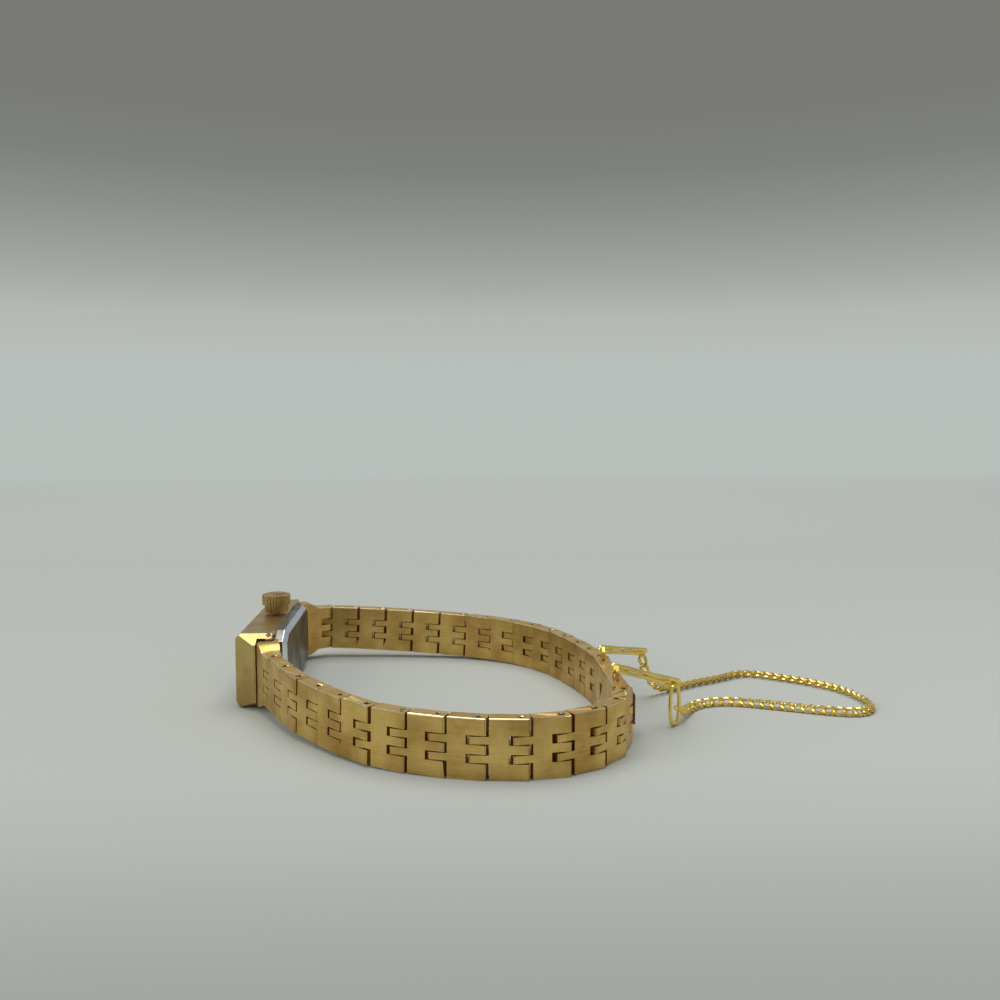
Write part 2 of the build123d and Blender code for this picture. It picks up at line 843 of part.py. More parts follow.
def close_loop():
    """Turns the two end pieces on their spring bars, and all joints alike, until the clasp meets."""
    values = [far_exit_heading, near_exit_heading, 1]
    nudges = (0.01, 0.01, 0.0001)
    for attempt in range(30):
        error = closing_error(values)
        columns = []
        for number, nudge in enumerate(nudges):
            moved = list(values)
            moved[number] += nudge
            columns.append([(b - a) / nudge for a, b in zip(error, closing_error(moved))])
        rows = [[columns[c][r] for c in range(3)] for r in range(3)]
        change = solve_three(rows, error)
        values = [v - c for v, c in zip(values, change)]
    return values


def link_frame(start, heading, drop_share, side):
    """A frame at a pin: x along the band, z across its width, y towards the inside of a near link."""
    angle = math.radians(heading)
    fall = math.asin(drop_share)
    along = Vector(math.cos(angle) * math.cos(fall), math.sin(angle) * math.cos(fall), -math.sin(fall))
    across = (Vector(0, 0, 1) - along * along.Z).normalized()
    return Location(Plane(origin=start, x_dir=along, z_dir=across))


def arm_frames(side, exit_heading, turn_scale):
    """One frame for the end piece, each link and the clasp half of an arm."""
    pins, headings = arm_route(side, exit_heading, turn_scale)
    frames = []
    for number, start in enumerate(pins):
        if number < len(pins) - 1:
            reach = math.dist(start, pins[number + 1])
            drop_share = (start[2] - pins[number + 1][2]) / reach
        else:
            drop_share = 0
        frames.append(link_frame(start, headings[number], drop_share, side))
    return frames


# Links


def zone_edges():
    """Heights at which the five zones of the link pattern meet, across the band."""
    edges = [-band_half]
    for share in zone_shares:
        edges.append(edges[-1] + share * band_width)
    return edges


def tip_profile(near_x, tip_x, inner):
    """Side view of a prong or a finger, with relief at the inner corner of its tip."""
    sign = 1 if tip_x > near_x else -1
    return [
        (near_x, -inner * thick_half),
        (tip_x - sign * edge_bevel, -inner * thick_half),
        (tip_x, -inner * (thick_half - edge_bevel)),
        (tip_x, inner * (thick_half - relief_height)),
        (tip_x - sign * relief_length, inner * thick_half),
        (near_x, inner * thick_half),
    ]


def pin_rod(x, z_half, radius):
    """A rod across the band."""
    return Pos(x, 0, 0) * Cylinder(radius, 2 * z_half)


def pin_hole(x, radius):
    """What a hinge pin's hole removes, right across the band."""
    return drill(x, 0, -band_width, band_width, radius)


def cut_prongs(shape, pin_x):
    """Cuts the two slots for the next link's fingers, and the hinge pin's hole."""
    edges = zone_edges()
    reach = band_thickness * 2
    for low in (1, 3):
        shape -= block(pin_x - slot_reach, pin_x + pin_setback * 2, -reach, reach, edges[low], edges[low + 1])
    return shape - pin_hole(pin_x, hinge_pin_diameter / 2 + pin_seat_play)


def make_fingers(inner):
    """The two fingers that reach back over the hinge pin into the piece before."""
    edges = zone_edges()
    outline = tip_profile(pin_setback + slot_clearance, -finger_reach, inner)
    fingers = []
    for low in (1, 3):
        bottom = edges[low] + finger_play
        top = edges[low + 1] - finger_play
        finger = polygon_prism(outline, bottom, top)
        fingers.append(finger - pin_hole(0, (hinge_pin_diameter + hinge_hole_play) / 2))
    return fingers


def hinge_pin(x):
    """The pin that a piece carries for the next one."""
    return pin_rod(x, band_half - pin_recess, hinge_pin_diameter / 2)


def soften(shape):
    """Bevels the long edges of the outer and inner faces, at the top and bottom of the band."""
    reach = edge_bevel
    for z_side in (1, -1):
        for y_side in (1, -1):
            y = y_side * thick_half
            z = z_side * band_half
            out_y = y + y_side * reach
            out_z = z + z_side * reach
            outline = [(0, out_y, out_z), (0, y - y_side * reach, out_z), (0, out_y, z - z_side * reach)]
            face = make_face(Polyline(*outline, close=True))
            shape -= extrude(face, link_pitch * 3, both=True)
    return shape


def make_link(inner):
    """One brick link: shoulders, three prongs, two fingers and its hinge pin."""
    outline = tip_profile(pin_setback, link_pitch + prong_reach, inner)
    body = polygon_prism(outline, -band_half, band_half)
    body = cut_prongs(soften(body), link_pitch)
    for finger in make_fingers(inner):
        body += finger
    return body, hinge_pin(link_pitch)


def make_end_piece(inner):
    """The end piece: a knuckle on the spring bar, a body that narrows to the band, and prongs."""
    pin_y = -inner * end_rise
    tip = end_reach + prong_reach
    outer_y = pin_y - inner * thick_half
    inner_y = pin_y + inner * thick_half
    outline = [
        (0, inner * end_knuckle_radius),
        (tip - relief_length, inner_y),
        (tip, inner_y - inner * relief_height),
        (tip, outer_y + inner * edge_bevel),
        (tip - edge_bevel, outer_y),
        (end_shoulder, outer_y),
        (-end_knuckle_radius * 0.3, -inner * end_knuckle_radius * 0.95),
    ]
    half = end_width / 2
    body = polygon_prism(outline, -half, half) + Cylinder(end_knuckle_radius, end_width)
    start = end_flare_start
    finish = end_reach - slot_reach
    middle = (start + finish) / 2
    for side in (1, -1):
        wide = side * half
        narrow = side * band_half
        clear = side * (half + overrun)
        bend = [(start, wide), (middle, (wide + narrow) / 2), (finish, narrow)]
        curve = Spline(*bend, tangents=((1, 0), (1, 0)))
        beyond = tip + overrun
        lines = Polyline((finish, narrow), (beyond, narrow), (beyond, clear), (start, clear), (start, wide))
        face = make_face(curve + lines)
        trim = extrude(Plane.XZ * face, end_width, both=True)
        body -= trim
    body -= pin_rod(0, end_width, (bar_diameter + bar_play) / 2)
    return cut_end_prongs(body, pin_y), Pos(0, pin_y, 0) * hinge_pin(end_reach)


def cut_end_prongs(body, pin_y):
    """Cuts an end piece's slots and pin hole, whose pin stands off the spring bar's line."""
    return Pos(0, pin_y, 0) * cut_prongs(Pos(0, -pin_y, 0) * body, end_reach)


# Clasp


def make_eyelet(x, z):
    """A small ring that stands on the top edge of the band, seen along the band's thickness."""
    place = Pos(x, 0, z + eyelet_radius - eyelet_foot) * Rot(90, 0, 0)
    size = 2 * (eyelet_radius + eyelet_wire)
    return place * ring_link(size, size, 2 * eyelet_wire)


def make_clasp_box(inner):
    """The far half of the clasp: a hollow box with a window, fingers and an eyelet."""
    start = pin_setback
    finish = pin_setback + box_length
    body = soften(block(start, finish, -thick_half, thick_half, -band_half, band_half))
    body -= block(
        box_cavity_start,
        finish + overrun,
        -thick_half + box_wall,
        thick_half - box_wall,
        -band_half + box_wall * 2,
        band_half - box_wall * 2,
    )
    window = [
        (box_cavity_start + box_wall, -window_width / 2),
        (box_cavity_start + box_wall, window_width / 2),
        (box_cavity_start + box_wall + window_length, window_width / 2),
    ]
    face = make_face(Polyline(*[(x, 0, z) for x, z in window], close=True))
    body -= extrude(face, inner * band_thickness, dir=(0, 1, 0))
    for finger in make_fingers(inner):
        body += finger
    return body + make_eyelet(box_eyelet_place, band_half)


def make_thumb_tab(inner):
    """The ribbed thumb tab on the outside of the tongue."""
    low = -inner * thick_half
    high = -inner * (thick_half + tab_height)
    half = tab_width / 2
    tab = block(tab_place, tab_place + tab_length, low, high, -half, half)
    pitch = tab_length / tab_rib_count
    for number in range(1, tab_rib_count):
        x = tab_place + number * pitch
        groove = pitch * 0.25
        bottom = high + inner * tab_rib_depth
        tab -= block(x - groove, x + groove, high - inner * overrun, bottom, -half - overrun, half + overrun)
    return tab


def make_clasp_tongue(inner):
    """The near half of the clasp: a plate with fingers, a sprung blade and an eyelet, and its thumb tab."""
    body = soften(block(pin_setback, blade_start, -thick_half, thick_half, -band_half, band_half))
    half = blade_width / 2
    thick = blade_thickness / 2
    drop = blade_tip_drop
    outline = [
        (blade_start - overrun, -thick),
        (blade_start, -thick),
        (blade_start + blade_length, -thick + drop * 0.5),
        (blade_start + blade_length, thick - drop),
        (blade_start, thick),
        (blade_start - overrun, thick),
    ]
    body += polygon_prism(outline, -half, half)
    for finger in make_fingers(inner):
        body += finger
    return body + make_eyelet(tongue_eyelet_place, band_half), make_thumb_tab(inner)


# Safety chain


def ring_link(length, width, wire):
    """A closed eight-sided ring along x, of square wire, light enough to repeat."""
    cut = width * ring_corner_share
    outer = polygon_prism(cut_corner_outline(length, width, cut, cut), -wire / 2, wire / 2)
    hole_width = width - 2 * wire
    cut = hole_width * ring_corner_share
    return outer - polygon_prism(cut_corner_outline(length - 2 * wire, hole_width, cut, cut), -wire, wire)


def chain_points():
    """Centres and headings of the chain's links, one pitch apart along the route."""
    path = Spline(*[Vector(x, y, table_z + z) for x, y, z in chain_route])
    pitch = chain_link_length - 2 * chain_wire - chain_link_play
    pairs = int(path.length / pitch / 2)
    shares = [number * pitch / path.length for number in range(2 * pairs + 1)]
    return [(path @ share, path % share) for share in shares]


def upright_plane(origin, direction):
    """A plane at a point of a wire, with x along the wire and z as near upright as it can be."""
    along = direction.normalized()
    aside = Vector(0, 1, 0) if abs(along.Z) > math.cos(math.radians(upright_limit)) else Vector(0, 0, 1)
    return Plane(origin=origin, x_dir=along, z_dir=(aside - along * along.dot(aside)).normalized())


def end_ring_plane(box_eye):
    """Where the last ring hangs: upright, and square to the wire link that comes down from the box."""
    point, direction = chain_points()[-2]
    reach = (chain_link_length - 2 * chain_wire - chain_link_play) / 2
    centre = point + direction.normalized() * reach + Vector(0, 0, reach)
    flat = Vector(centre.X - box_eye.X, centre.Y - box_eye.Y, 0).normalized()
    return Plane(origin=centre, x_dir=(0, 0, 1), z_dir=flat)


def chain_links(box_eye):
    """The chain's rings, by turns flat and upright, so that each hooks round the one before."""
    rings = []
    for number, (point, direction) in enumerate(chain_points()[:-1]):
        quarter_turns = number % 2
        ring = ring_link(chain_link_length, chain_link_width, chain_wire)
        rings.append(upright_plane(point, direction).location * Rot(90 * quarter_turns, 0, 0) * ring)
    last_ring = ring_link(chain_link_length, end_ring_width, chain_wire)
    rings.append(end_ring_plane(box_eye).location * last_ring)
    return rings


def make_jump_ring():
    """The oval ring that stands on the table at the tongue's end of the chain, round its first ring."""
    point, direction = chain_points()[0]
    flat = Vector(direction.X, direction.Y, 0).normalized()
    back = flat * (chain_link_length / 2 - chain_wire - jump_ring_wire / 2 - hook_play)
    side = flat * (jump_ring_width / 2 - jump_ring_wire / 2)
    centre = Vector(point.X, point.Y, table_z + jump_ring_length / 2) - back - side
    plane = Plane(origin=centre, x_dir=(0, 0, 1), z_dir=flat.cross(Vector(0, 0, 1)))
    return plane.location * ring_link(jump_ring_length, jump_ring_width, jump_ring_wire), centre


def wire_between(start, finish, hooked_wire):
    """An oval wire link in an upright plane, whose ends go round wires that cross it at the two points."""
    direction = finish - start
    plane = upright_plane((start + finish) * 0.5, direction)
    spare = hooked_wire / 2 + eye_play + wire_link_wire
    ring = ring_link(direction.length + 2 * spare, wire_link_width, wire_link_wire)
    return plane.location * Rot(90, 0, 0) * ring


def eyelet_top(frame, x):
    """The middle of the wire at the top of an eyelet on a half of the clasp."""
    place = frame * Pos(x, 0, band_half + 2 * eyelet_radius - eyelet_foot)
    return place.position


def chain_end(box_eye):
    """Where the box's wire link ends, so that the chain's last ring hangs from its lower wire."""
    up = chain_link_length / 2 - chain_wire - wire_link_wire / 2 - hook_play
    return end_ring_plane(box_eye).origin + Vector(0, 0, up + (wire_link_width - wire_link_wire) / 2)


# Making every sub-part

os.makedirs("parts", exist_ok=True)

save_case("mid_case", make_mid_case())
save_case("case_back", make_case_back())
save_case("crystal", make_crystal())
save_case("spring_bars", *[Pos(0, y, bar_height) * make_spring_bar() for y in (bar_y, -bar_y)])
save_case("dial", make_dial())
save_case("hour_hand", make_hour_hand())
save_case("minute_hand", make_minute_hand())
save_case("crown", make_crown())
save_case("winding_stem", make_stem())
save_case("setting_lever", make_setting_lever())
save_case("main_plate", make_main_plate())
save_case("barrel_bridge", make_barrel_bridge())
save_case("train_bridge", make_train_bridge())
save_case("balance_cock", make_balance_cock())
save_case("movement_screws", *make_screws())
save_case("barrel", make_barrel())
save_case("ratchet_wheel", make_ratchet("barrel", ratchet_radius, ratchet_teeth))
save_case("crown_wheel", make_crown_wheel())
trains = (
    ("centre", centre_wheel_radius, centre_teeth, centre_pinion_radius, wheel_high, pinion_mid, in_cannon),
    ("third", third_wheel_radius, third_teeth, third_pinion_radius, wheel_low, pinion_high, in_plate),
    ("fourth", fourth_wheel_radius, fourth_teeth, fourth_pinion_radius, wheel_mid, pinion_low, in_plate),
    ("escape", escape_wheel_radius, escape_teeth, escape_pinion_radius, wheel_low, pinion_mid, in_plate),
)
for name, *sizes in trains:
    save_case(name + "_wheel", make_train_wheel(name, *sizes))
save_case("pallet_fork", make_pallet_fork())
save_case("balance", make_balance())
save_case("minute_wheel", make_minute_wheel())

far_exit, near_exit, turn_scale = close_loop()
print("end piece headings", round(far_exit, 2), round(near_exit, 2), "turn scale", round(turn_scale, 4))

clasp_frames = {}
for side, clock in ((1, "12"), (-1, "6")):
    frames = arm_frames(side, far_exit if side > 0 else near_exit, turn_scale)
    inner = -side
    end_body, end_pin = make_end_piece(inner)
    save("end_link_" + clock, frames[0] * end_body, frames[0] * end_pin)
    link_body, link_pin = make_link(inner)
    for number, frame in enumerate(frames[1:-1], 1):
        save(f"link_{clock}_{number:02d}", frame * link_body, frame * link_pin)
    clasp_frames[clock] = frames[-1]
    if side > 0:
        save("clasp_box", frames[-1] * make_clasp_box(inner))
    else:
        tongue, tab = make_clasp_tongue(inner)
        save("clasp_tongue", frames[-1] * tongue, frames[-1] * tab)

tongue_eye = eyelet_top(clasp_frames["6"], tongue_eyelet_place)
box_eye = eyelet_top(clasp_frames["12"], box_eyelet_place)
links = chain_links(box_eye)
part_count = 2 * (len(links) // 6)
ring, ring_centre = make_jump_ring()
save("chain_1", ring, *links[:part_count])
save("chain_2", *links[part_count : 2 * part_count])
save("chain_3", *links[2 * part_count :])
ring_top = ring_centre + Vector(0, 0, jump_ring_length / 2 - jump_ring_wire / 2)
save("wire_link_6", wire_between(tongue_eye, ring_top, 2 * eyelet_wire))
save("wire_link_12", wire_between(box_eye, chain_end(box_eye), 2 * eyelet_wire))
print("chain rings", len(links))
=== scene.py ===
"""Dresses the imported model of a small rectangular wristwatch, clasped and standing on its side."""

import json
import logging
import math
from dataclasses import dataclass, field
from enum import Enum, IntEnum
from typing import Callable, Optional

import bmesh
import bpy
from mathutils import Matrix, Vector

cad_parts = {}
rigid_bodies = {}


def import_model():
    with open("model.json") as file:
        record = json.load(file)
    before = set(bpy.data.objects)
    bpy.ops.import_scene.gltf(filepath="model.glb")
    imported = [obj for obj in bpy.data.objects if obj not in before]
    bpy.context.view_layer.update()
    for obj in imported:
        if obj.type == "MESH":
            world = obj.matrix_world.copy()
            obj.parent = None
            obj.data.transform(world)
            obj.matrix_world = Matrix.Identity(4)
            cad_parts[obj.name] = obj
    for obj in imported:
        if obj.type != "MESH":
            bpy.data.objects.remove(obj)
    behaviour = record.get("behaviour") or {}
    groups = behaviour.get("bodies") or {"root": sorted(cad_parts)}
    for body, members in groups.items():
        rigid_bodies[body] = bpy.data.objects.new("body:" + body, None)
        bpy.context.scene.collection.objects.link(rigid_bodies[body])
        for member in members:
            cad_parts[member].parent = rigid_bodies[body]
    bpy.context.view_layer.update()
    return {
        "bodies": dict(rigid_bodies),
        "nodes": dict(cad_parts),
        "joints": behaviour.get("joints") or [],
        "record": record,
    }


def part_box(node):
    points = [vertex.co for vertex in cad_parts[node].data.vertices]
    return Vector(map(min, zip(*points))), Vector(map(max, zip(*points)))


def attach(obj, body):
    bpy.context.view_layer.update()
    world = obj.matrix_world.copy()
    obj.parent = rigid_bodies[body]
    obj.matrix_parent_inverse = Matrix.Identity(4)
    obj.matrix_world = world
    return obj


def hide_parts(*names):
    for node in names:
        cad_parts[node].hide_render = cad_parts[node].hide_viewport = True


LOG = logging.getLogger("watch")
MM = 0.001
WELD_DISTANCE = 0.002 * MM
BAND_MAP = "band"
UPWARDS = Vector((0, 0, 1))
Colour = tuple[float, float, float, float]
Span = tuple[float, float]
Triple = tuple[float, float, float]


def tone(red: float, green: float, blue: float) -> Colour:
    """Turns a colour as it is seen, in shares of white, into a shader's colour.

    Args:
        red: share of red.
        green: share of green.
        blue: share of blue.

    Returns:
        The linear colour with full alpha.
    """

    def linear(value: float) -> float:
        """One channel, through a screen's usual curve."""
        return value / 12.92 if value <= 0.04045 else ((value + 0.055) / 1.055) ** 2.4

    return (linear(red), linear(green), linear(blue), 1.0)


class Socket:
    """A shader value that takes part in plain arithmetic."""

    def __init__(self, graph: "Graph", socket: bpy.types.NodeSocket) -> None:
        """Keeps the graph and the socket that gives the value."""
        self.graph = graph
        self.socket = socket

    def _maths(self, operation: str, *values: "Socket | float") -> "Socket":
        """One Math node on the given values."""
        return self.graph.node("ShaderNodeMath", {"operation": operation}, dict(enumerate(values)))

    def __add__(self, other: "Socket | float") -> "Socket":
        """Sum."""
        return self._maths("ADD", self, other)

    def __radd__(self, other: float) -> "Socket":
        """Sum with a number first."""
        return self._maths("ADD", other, self)

    def __mul__(self, other: "Socket | float") -> "Socket":
        """Product."""
        return self._maths("MULTIPLY", self, other)

    def __rmul__(self, other: float) -> "Socket":
        """Product with a number first."""
        return self._maths("MULTIPLY", other, self)

    def clipped(self, low: float, high: float) -> "Socket":
        """The value spread from low..high to 0..1, and held there."""
        return self.graph.node(
            "ShaderNodeMapRange",
            {"clamp": True},
            {"Value": self, "From Min": low, "From Max": high, "To Min": 0.0, "To Max": 1.0},
        )


class Graph:
    """The node tree of a material or of the world, as it is built."""

    def __init__(self, owner: bpy.types.Material | bpy.types.World) -> None:
        """Starts an empty tree.

        Args:
            owner: the material or world that the tree belongs to.
        """
        owner.use_nodes = True
        self.owner = owner
        self.tree = owner.node_tree
        self.tree.nodes.clear()

    def node(
        self,
        kind: str,
        settings: Optional[dict[str, object]] = None,
        inputs: Optional[dict[str | int, object]] = None,
        output: str | int = 0,
    ) -> Socket:
        """Adds a node.

        Args:
            kind: the node's type.
            settings: its own properties, and a ramp's stops under "stops".
            inputs: values or sockets for its inputs, by name or number.
            output: which output to return.

        Returns:
            The chosen output, or the first input of a node that ends the tree.
        """
        made = self.tree.nodes.new(kind)
        for key, value in (settings or {}).items():
            if key == "stops":
                self._set_stops(made.color_ramp, value)
            else:
                setattr(made, key, value)
        for key, value in (inputs or {}).items():
            if isinstance(value, Socket):
                self.tree.links.new(value.socket, made.inputs[key])
            else:
                made.inputs[key].default_value = value
        return Socket(self, made.outputs[output] if len(made.outputs) else made.inputs[0])

    @staticmethod
    def _set_stops(ramp: bpy.types.ColorRamp, stops: list[tuple[float, Colour]]) -> None:
        """Gives a colour ramp its stops.

        Args:
            ramp: the ramp, which has at most as many stops as are given.
            stops: place and colour of each, in order.
        """
        while len(ramp.elements) < len(stops):
            ramp.elements.new(0.5)
        for element, (place, colour) in zip(ramp.elements, stops):
            element.position = place
            element.color = colour

    def blend(self, factor: Socket | float, first: Socket | Colour, second: Socket | Colour) -> Socket:
        """Mixes two colours."""
        settings = {"data_type": "RGBA", "clamp_factor": True}
        return self.node("ShaderNodeMix", settings, {0: factor, 6: first, 7: second}, 2)

    def noise(self, where: Socket, scale: float, detail: float) -> Socket:
        """Plain noise, 0 to 1."""
        return self.node("ShaderNodeTexNoise", None, {"Vector": where, "Scale": scale, "Detail": detail})

    def place(self) -> Socket:
        """The piece's own object coordinates."""
        return self.node("ShaderNodeTexCoord", None, None, "Object")

    def band_place(self) -> Socket:
        """The piece's own map along the bracelet."""
        return self.node("ShaderNodeUVMap", {"uv_map": BAND_MAP}, None, "UV")

    def stretched(self, where: Socket, scale: Triple) -> Socket:
        """Coordinates with each axis scaled by itself."""
        return self.node("ShaderNodeMapping", {"vector_type": "POINT"}, {"Vector": where, "Scale": scale})

    def bump(self, strength: float, depth: float, height: Socket) -> Socket:
        """A surface normal that follows a height."""
        return self.node("ShaderNodeBump", None, {"Strength": strength, "Distance": depth, "Height": height})

    def surface(self, inputs: dict[str, object]) -> bpy.types.Material:
        """Ends a material with its surface shader, given that shader's inputs."""
        shader = self.node("ShaderNodeBsdfPrincipled", None, inputs)
        return self.ended(shader)

    def ended(self, shader: Socket) -> bpy.types.Material:
        """Ends a material with any shader."""
        self.node("ShaderNodeOutputMaterial", None, {"Surface": shader})
        return self.owner


class Grain(Enum):
    """Which way a metal's finishing marks run, as marks to a metre of each axis.

    BAND runs along the bracelet, on the piece's own map, AXIS_Y along Y, and SPUN every way, as tumbled.
    """

    BAND = (180.0, 9000.0, 1.0)
    AXIS_Y = (9000.0, 220.0, 9000.0)
    SPUN = (2600.0, 2600.0, 2600.0)


@dataclass(frozen=True)
class Metal:
    """A plated or bare metal finish with grain, tarnish and small dents.

    Attributes:
        name: the material's name.
        dark: colour in tarnished patches.
        light: colour where the plating is clean.
        rough: roughness of the clean metal.
        grain: which way the marks run.
        grain_depth: how strongly the marks show.
        tarnish: share of tarnish.
        patches_per_metre: how many tarnished patches lie along a metre.
        patch_span: levels of noise between which a patch fades in.
        specks_per_patch: how many specks lie along a patch.
        speck_span: levels of noise between which a speck fades in.
        mark_colour: how much the marks darken.
        speck_colour: how much the specks darken.
        patch_dulling: roughness that tarnish adds.
        mark_dulling: roughness that the marks add.
        least_bump: bump of a metal without marks.
        mark_bump: bump that full marks add.
        mark_height: the marks' share of the bump.
        speck_height: the specks' share of the bump.
        bump_depth: height of the bump in metres.
    """

    name: str
    dark: Colour
    light: Colour
    rough: float = 0.3
    grain: Grain = Grain.SPUN
    grain_depth: float = 0.5
    tarnish: float = 0.5
    patches_per_metre: float = 260.0
    patch_span: Span = (0.36, 0.66)
    specks_per_patch: float = 9.0
    speck_span: Span = (0.52, 0.72)
    mark_colour: float = 0.6
    speck_colour: float = 0.12
    patch_dulling: float = 0.14
    mark_dulling: float = 0.16
    least_bump: float = 0.05
    mark_bump: float = 0.35
    mark_height: float = 0.8
    speck_height: float = 0.2
    bump_depth: float = 0.02 * MM

    def make(self) -> bpy.types.Material:
        """Builds the material.

        Returns:
            The material.
        """
        graph = Graph(bpy.data.materials.new(self.name))
        where = graph.place()
        marks_run = graph.band_place() if self.grain is Grain.BAND else where
        marks = graph.noise(graph.stretched(marks_run, self.grain.value), scale=1.0, detail=3.0)
        patches = graph.noise(where, self.patches_per_metre, detail=4.0).clipped(*self.patch_span)
        specks_per_metre = self.patches_per_metre * self.specks_per_patch
        specks = graph.noise(where, specks_per_metre, detail=3.0).clipped(*self.speck_span)
        worn_marks = marks * (self.mark_colour * self.grain_depth)
        wear = patches * self.tarnish + worn_marks + specks * self.speck_colour
        dulled = patches * (self.patch_dulling * self.tarnish)
        height = marks * self.mark_height + specks * self.speck_height
        return graph.surface(
            {
                "Base Color": graph.blend(wear, self.light, self.dark),
                "Metallic": 1.0,
                "Roughness": self.rough + dulled + marks * (self.mark_dulling * self.grain_depth),
                "Normal": graph.bump(
                    self.mark_bump * self.grain_depth + self.least_bump, self.bump_depth, height
                ),
            }
        )


@dataclass(frozen=True)
class Paint:
    """A painted or blued plain colour with a little unevenness.

    Attributes:
        name: the material's name.
        colour: the main colour.
        shade: the colour of its mottles.
        rough: roughness.
        metallic: share of metal in it.
        mottles_per_metre: how many mottles lie along a metre.
        mottle_span: levels of noise between which a mottle fades in.
        pores_per_metre: how many fine pores lie along a metre.
        mottle_colour: how much the mottles shade.
        pore_colour: how much the pores shade.
        mottle_dulling: roughness that the mottles add.
        bump: how strongly the pores show in the light.
        bump_depth: height of the bump in metres.
    """

    name: str
    colour: Colour
    shade: Colour
    rough: float = 0.4
    metallic: float = 0.0
    mottles_per_metre: float = 420.0
    mottle_span: Span = (0.35, 0.7)
    pores_per_metre: float = 5200.0
    mottle_colour: float = 0.6
    pore_colour: float = 0.2
    mottle_dulling: float = 0.08
    bump: float = 0.1
    bump_depth: float = 0.02 * MM

    def make(self) -> bpy.types.Material:
        """Builds the material.

        Returns:
            The material.
        """
        graph = Graph(bpy.data.materials.new(self.name))
        where = graph.place()
        mottle = graph.noise(where, self.mottles_per_metre, detail=3.0).clipped(*self.mottle_span)
        pores = graph.noise(where, self.pores_per_metre, detail=2.0)
        shading = mottle * self.mottle_colour + pores * self.pore_colour
        return graph.surface(
            {
                "Base Color": graph.blend(shading, self.colour, self.shade),
                "Metallic": self.metallic,
                "Roughness": self.rough + mottle * self.mottle_dulling,
                "Normal": graph.bump(self.bump, self.bump_depth, pores),
            }
        )


@dataclass(frozen=True)
class Crystal:
    """Clear mineral crystal with faint rub marks.

    Attributes:
        name: the material's name.
        tint: its colour.
        refraction: its index of refraction.
        rubs_per_metre: how many rub marks lie along a metre.
        rub_span: levels of noise between which a rub mark fades in.
        rough: roughness of the clean crystal.
        rub_dulling: roughness that the rub marks add.
        cover: how much the clean crystal covers.
        rub_cover: how much more the rub marks cover.
    """

    name: str = "mineral_crystal"
    tint: Colour = tone(0.97, 0.98, 0.98)
    refraction: float = 1.5
    rubs_per_metre: float = 1800.0
    rub_span: Span = (0.55, 0.8)
    rough: float = 0.03
    rub_dulling: float = 0.08
    cover: float = 0.16
    rub_cover: float = 0.05

    def make(self) -> bpy.types.Material:
        """Builds the material: a clear body with a glossy skin.

        Returns:
            The material.
        """
        graph = Graph(bpy.data.materials.new(self.name))
        rubs = graph.noise(graph.place(), self.rubs_per_metre, detail=3.0).clipped(*self.rub_span)
        return graph.surface(
            {
                "Base Color": self.tint,
                "Roughness": self.rough + rubs * self.rub_dulling,
                "IOR": self.refraction,
                "Alpha": self.cover + rubs * self.rub_cover,
            }
        )


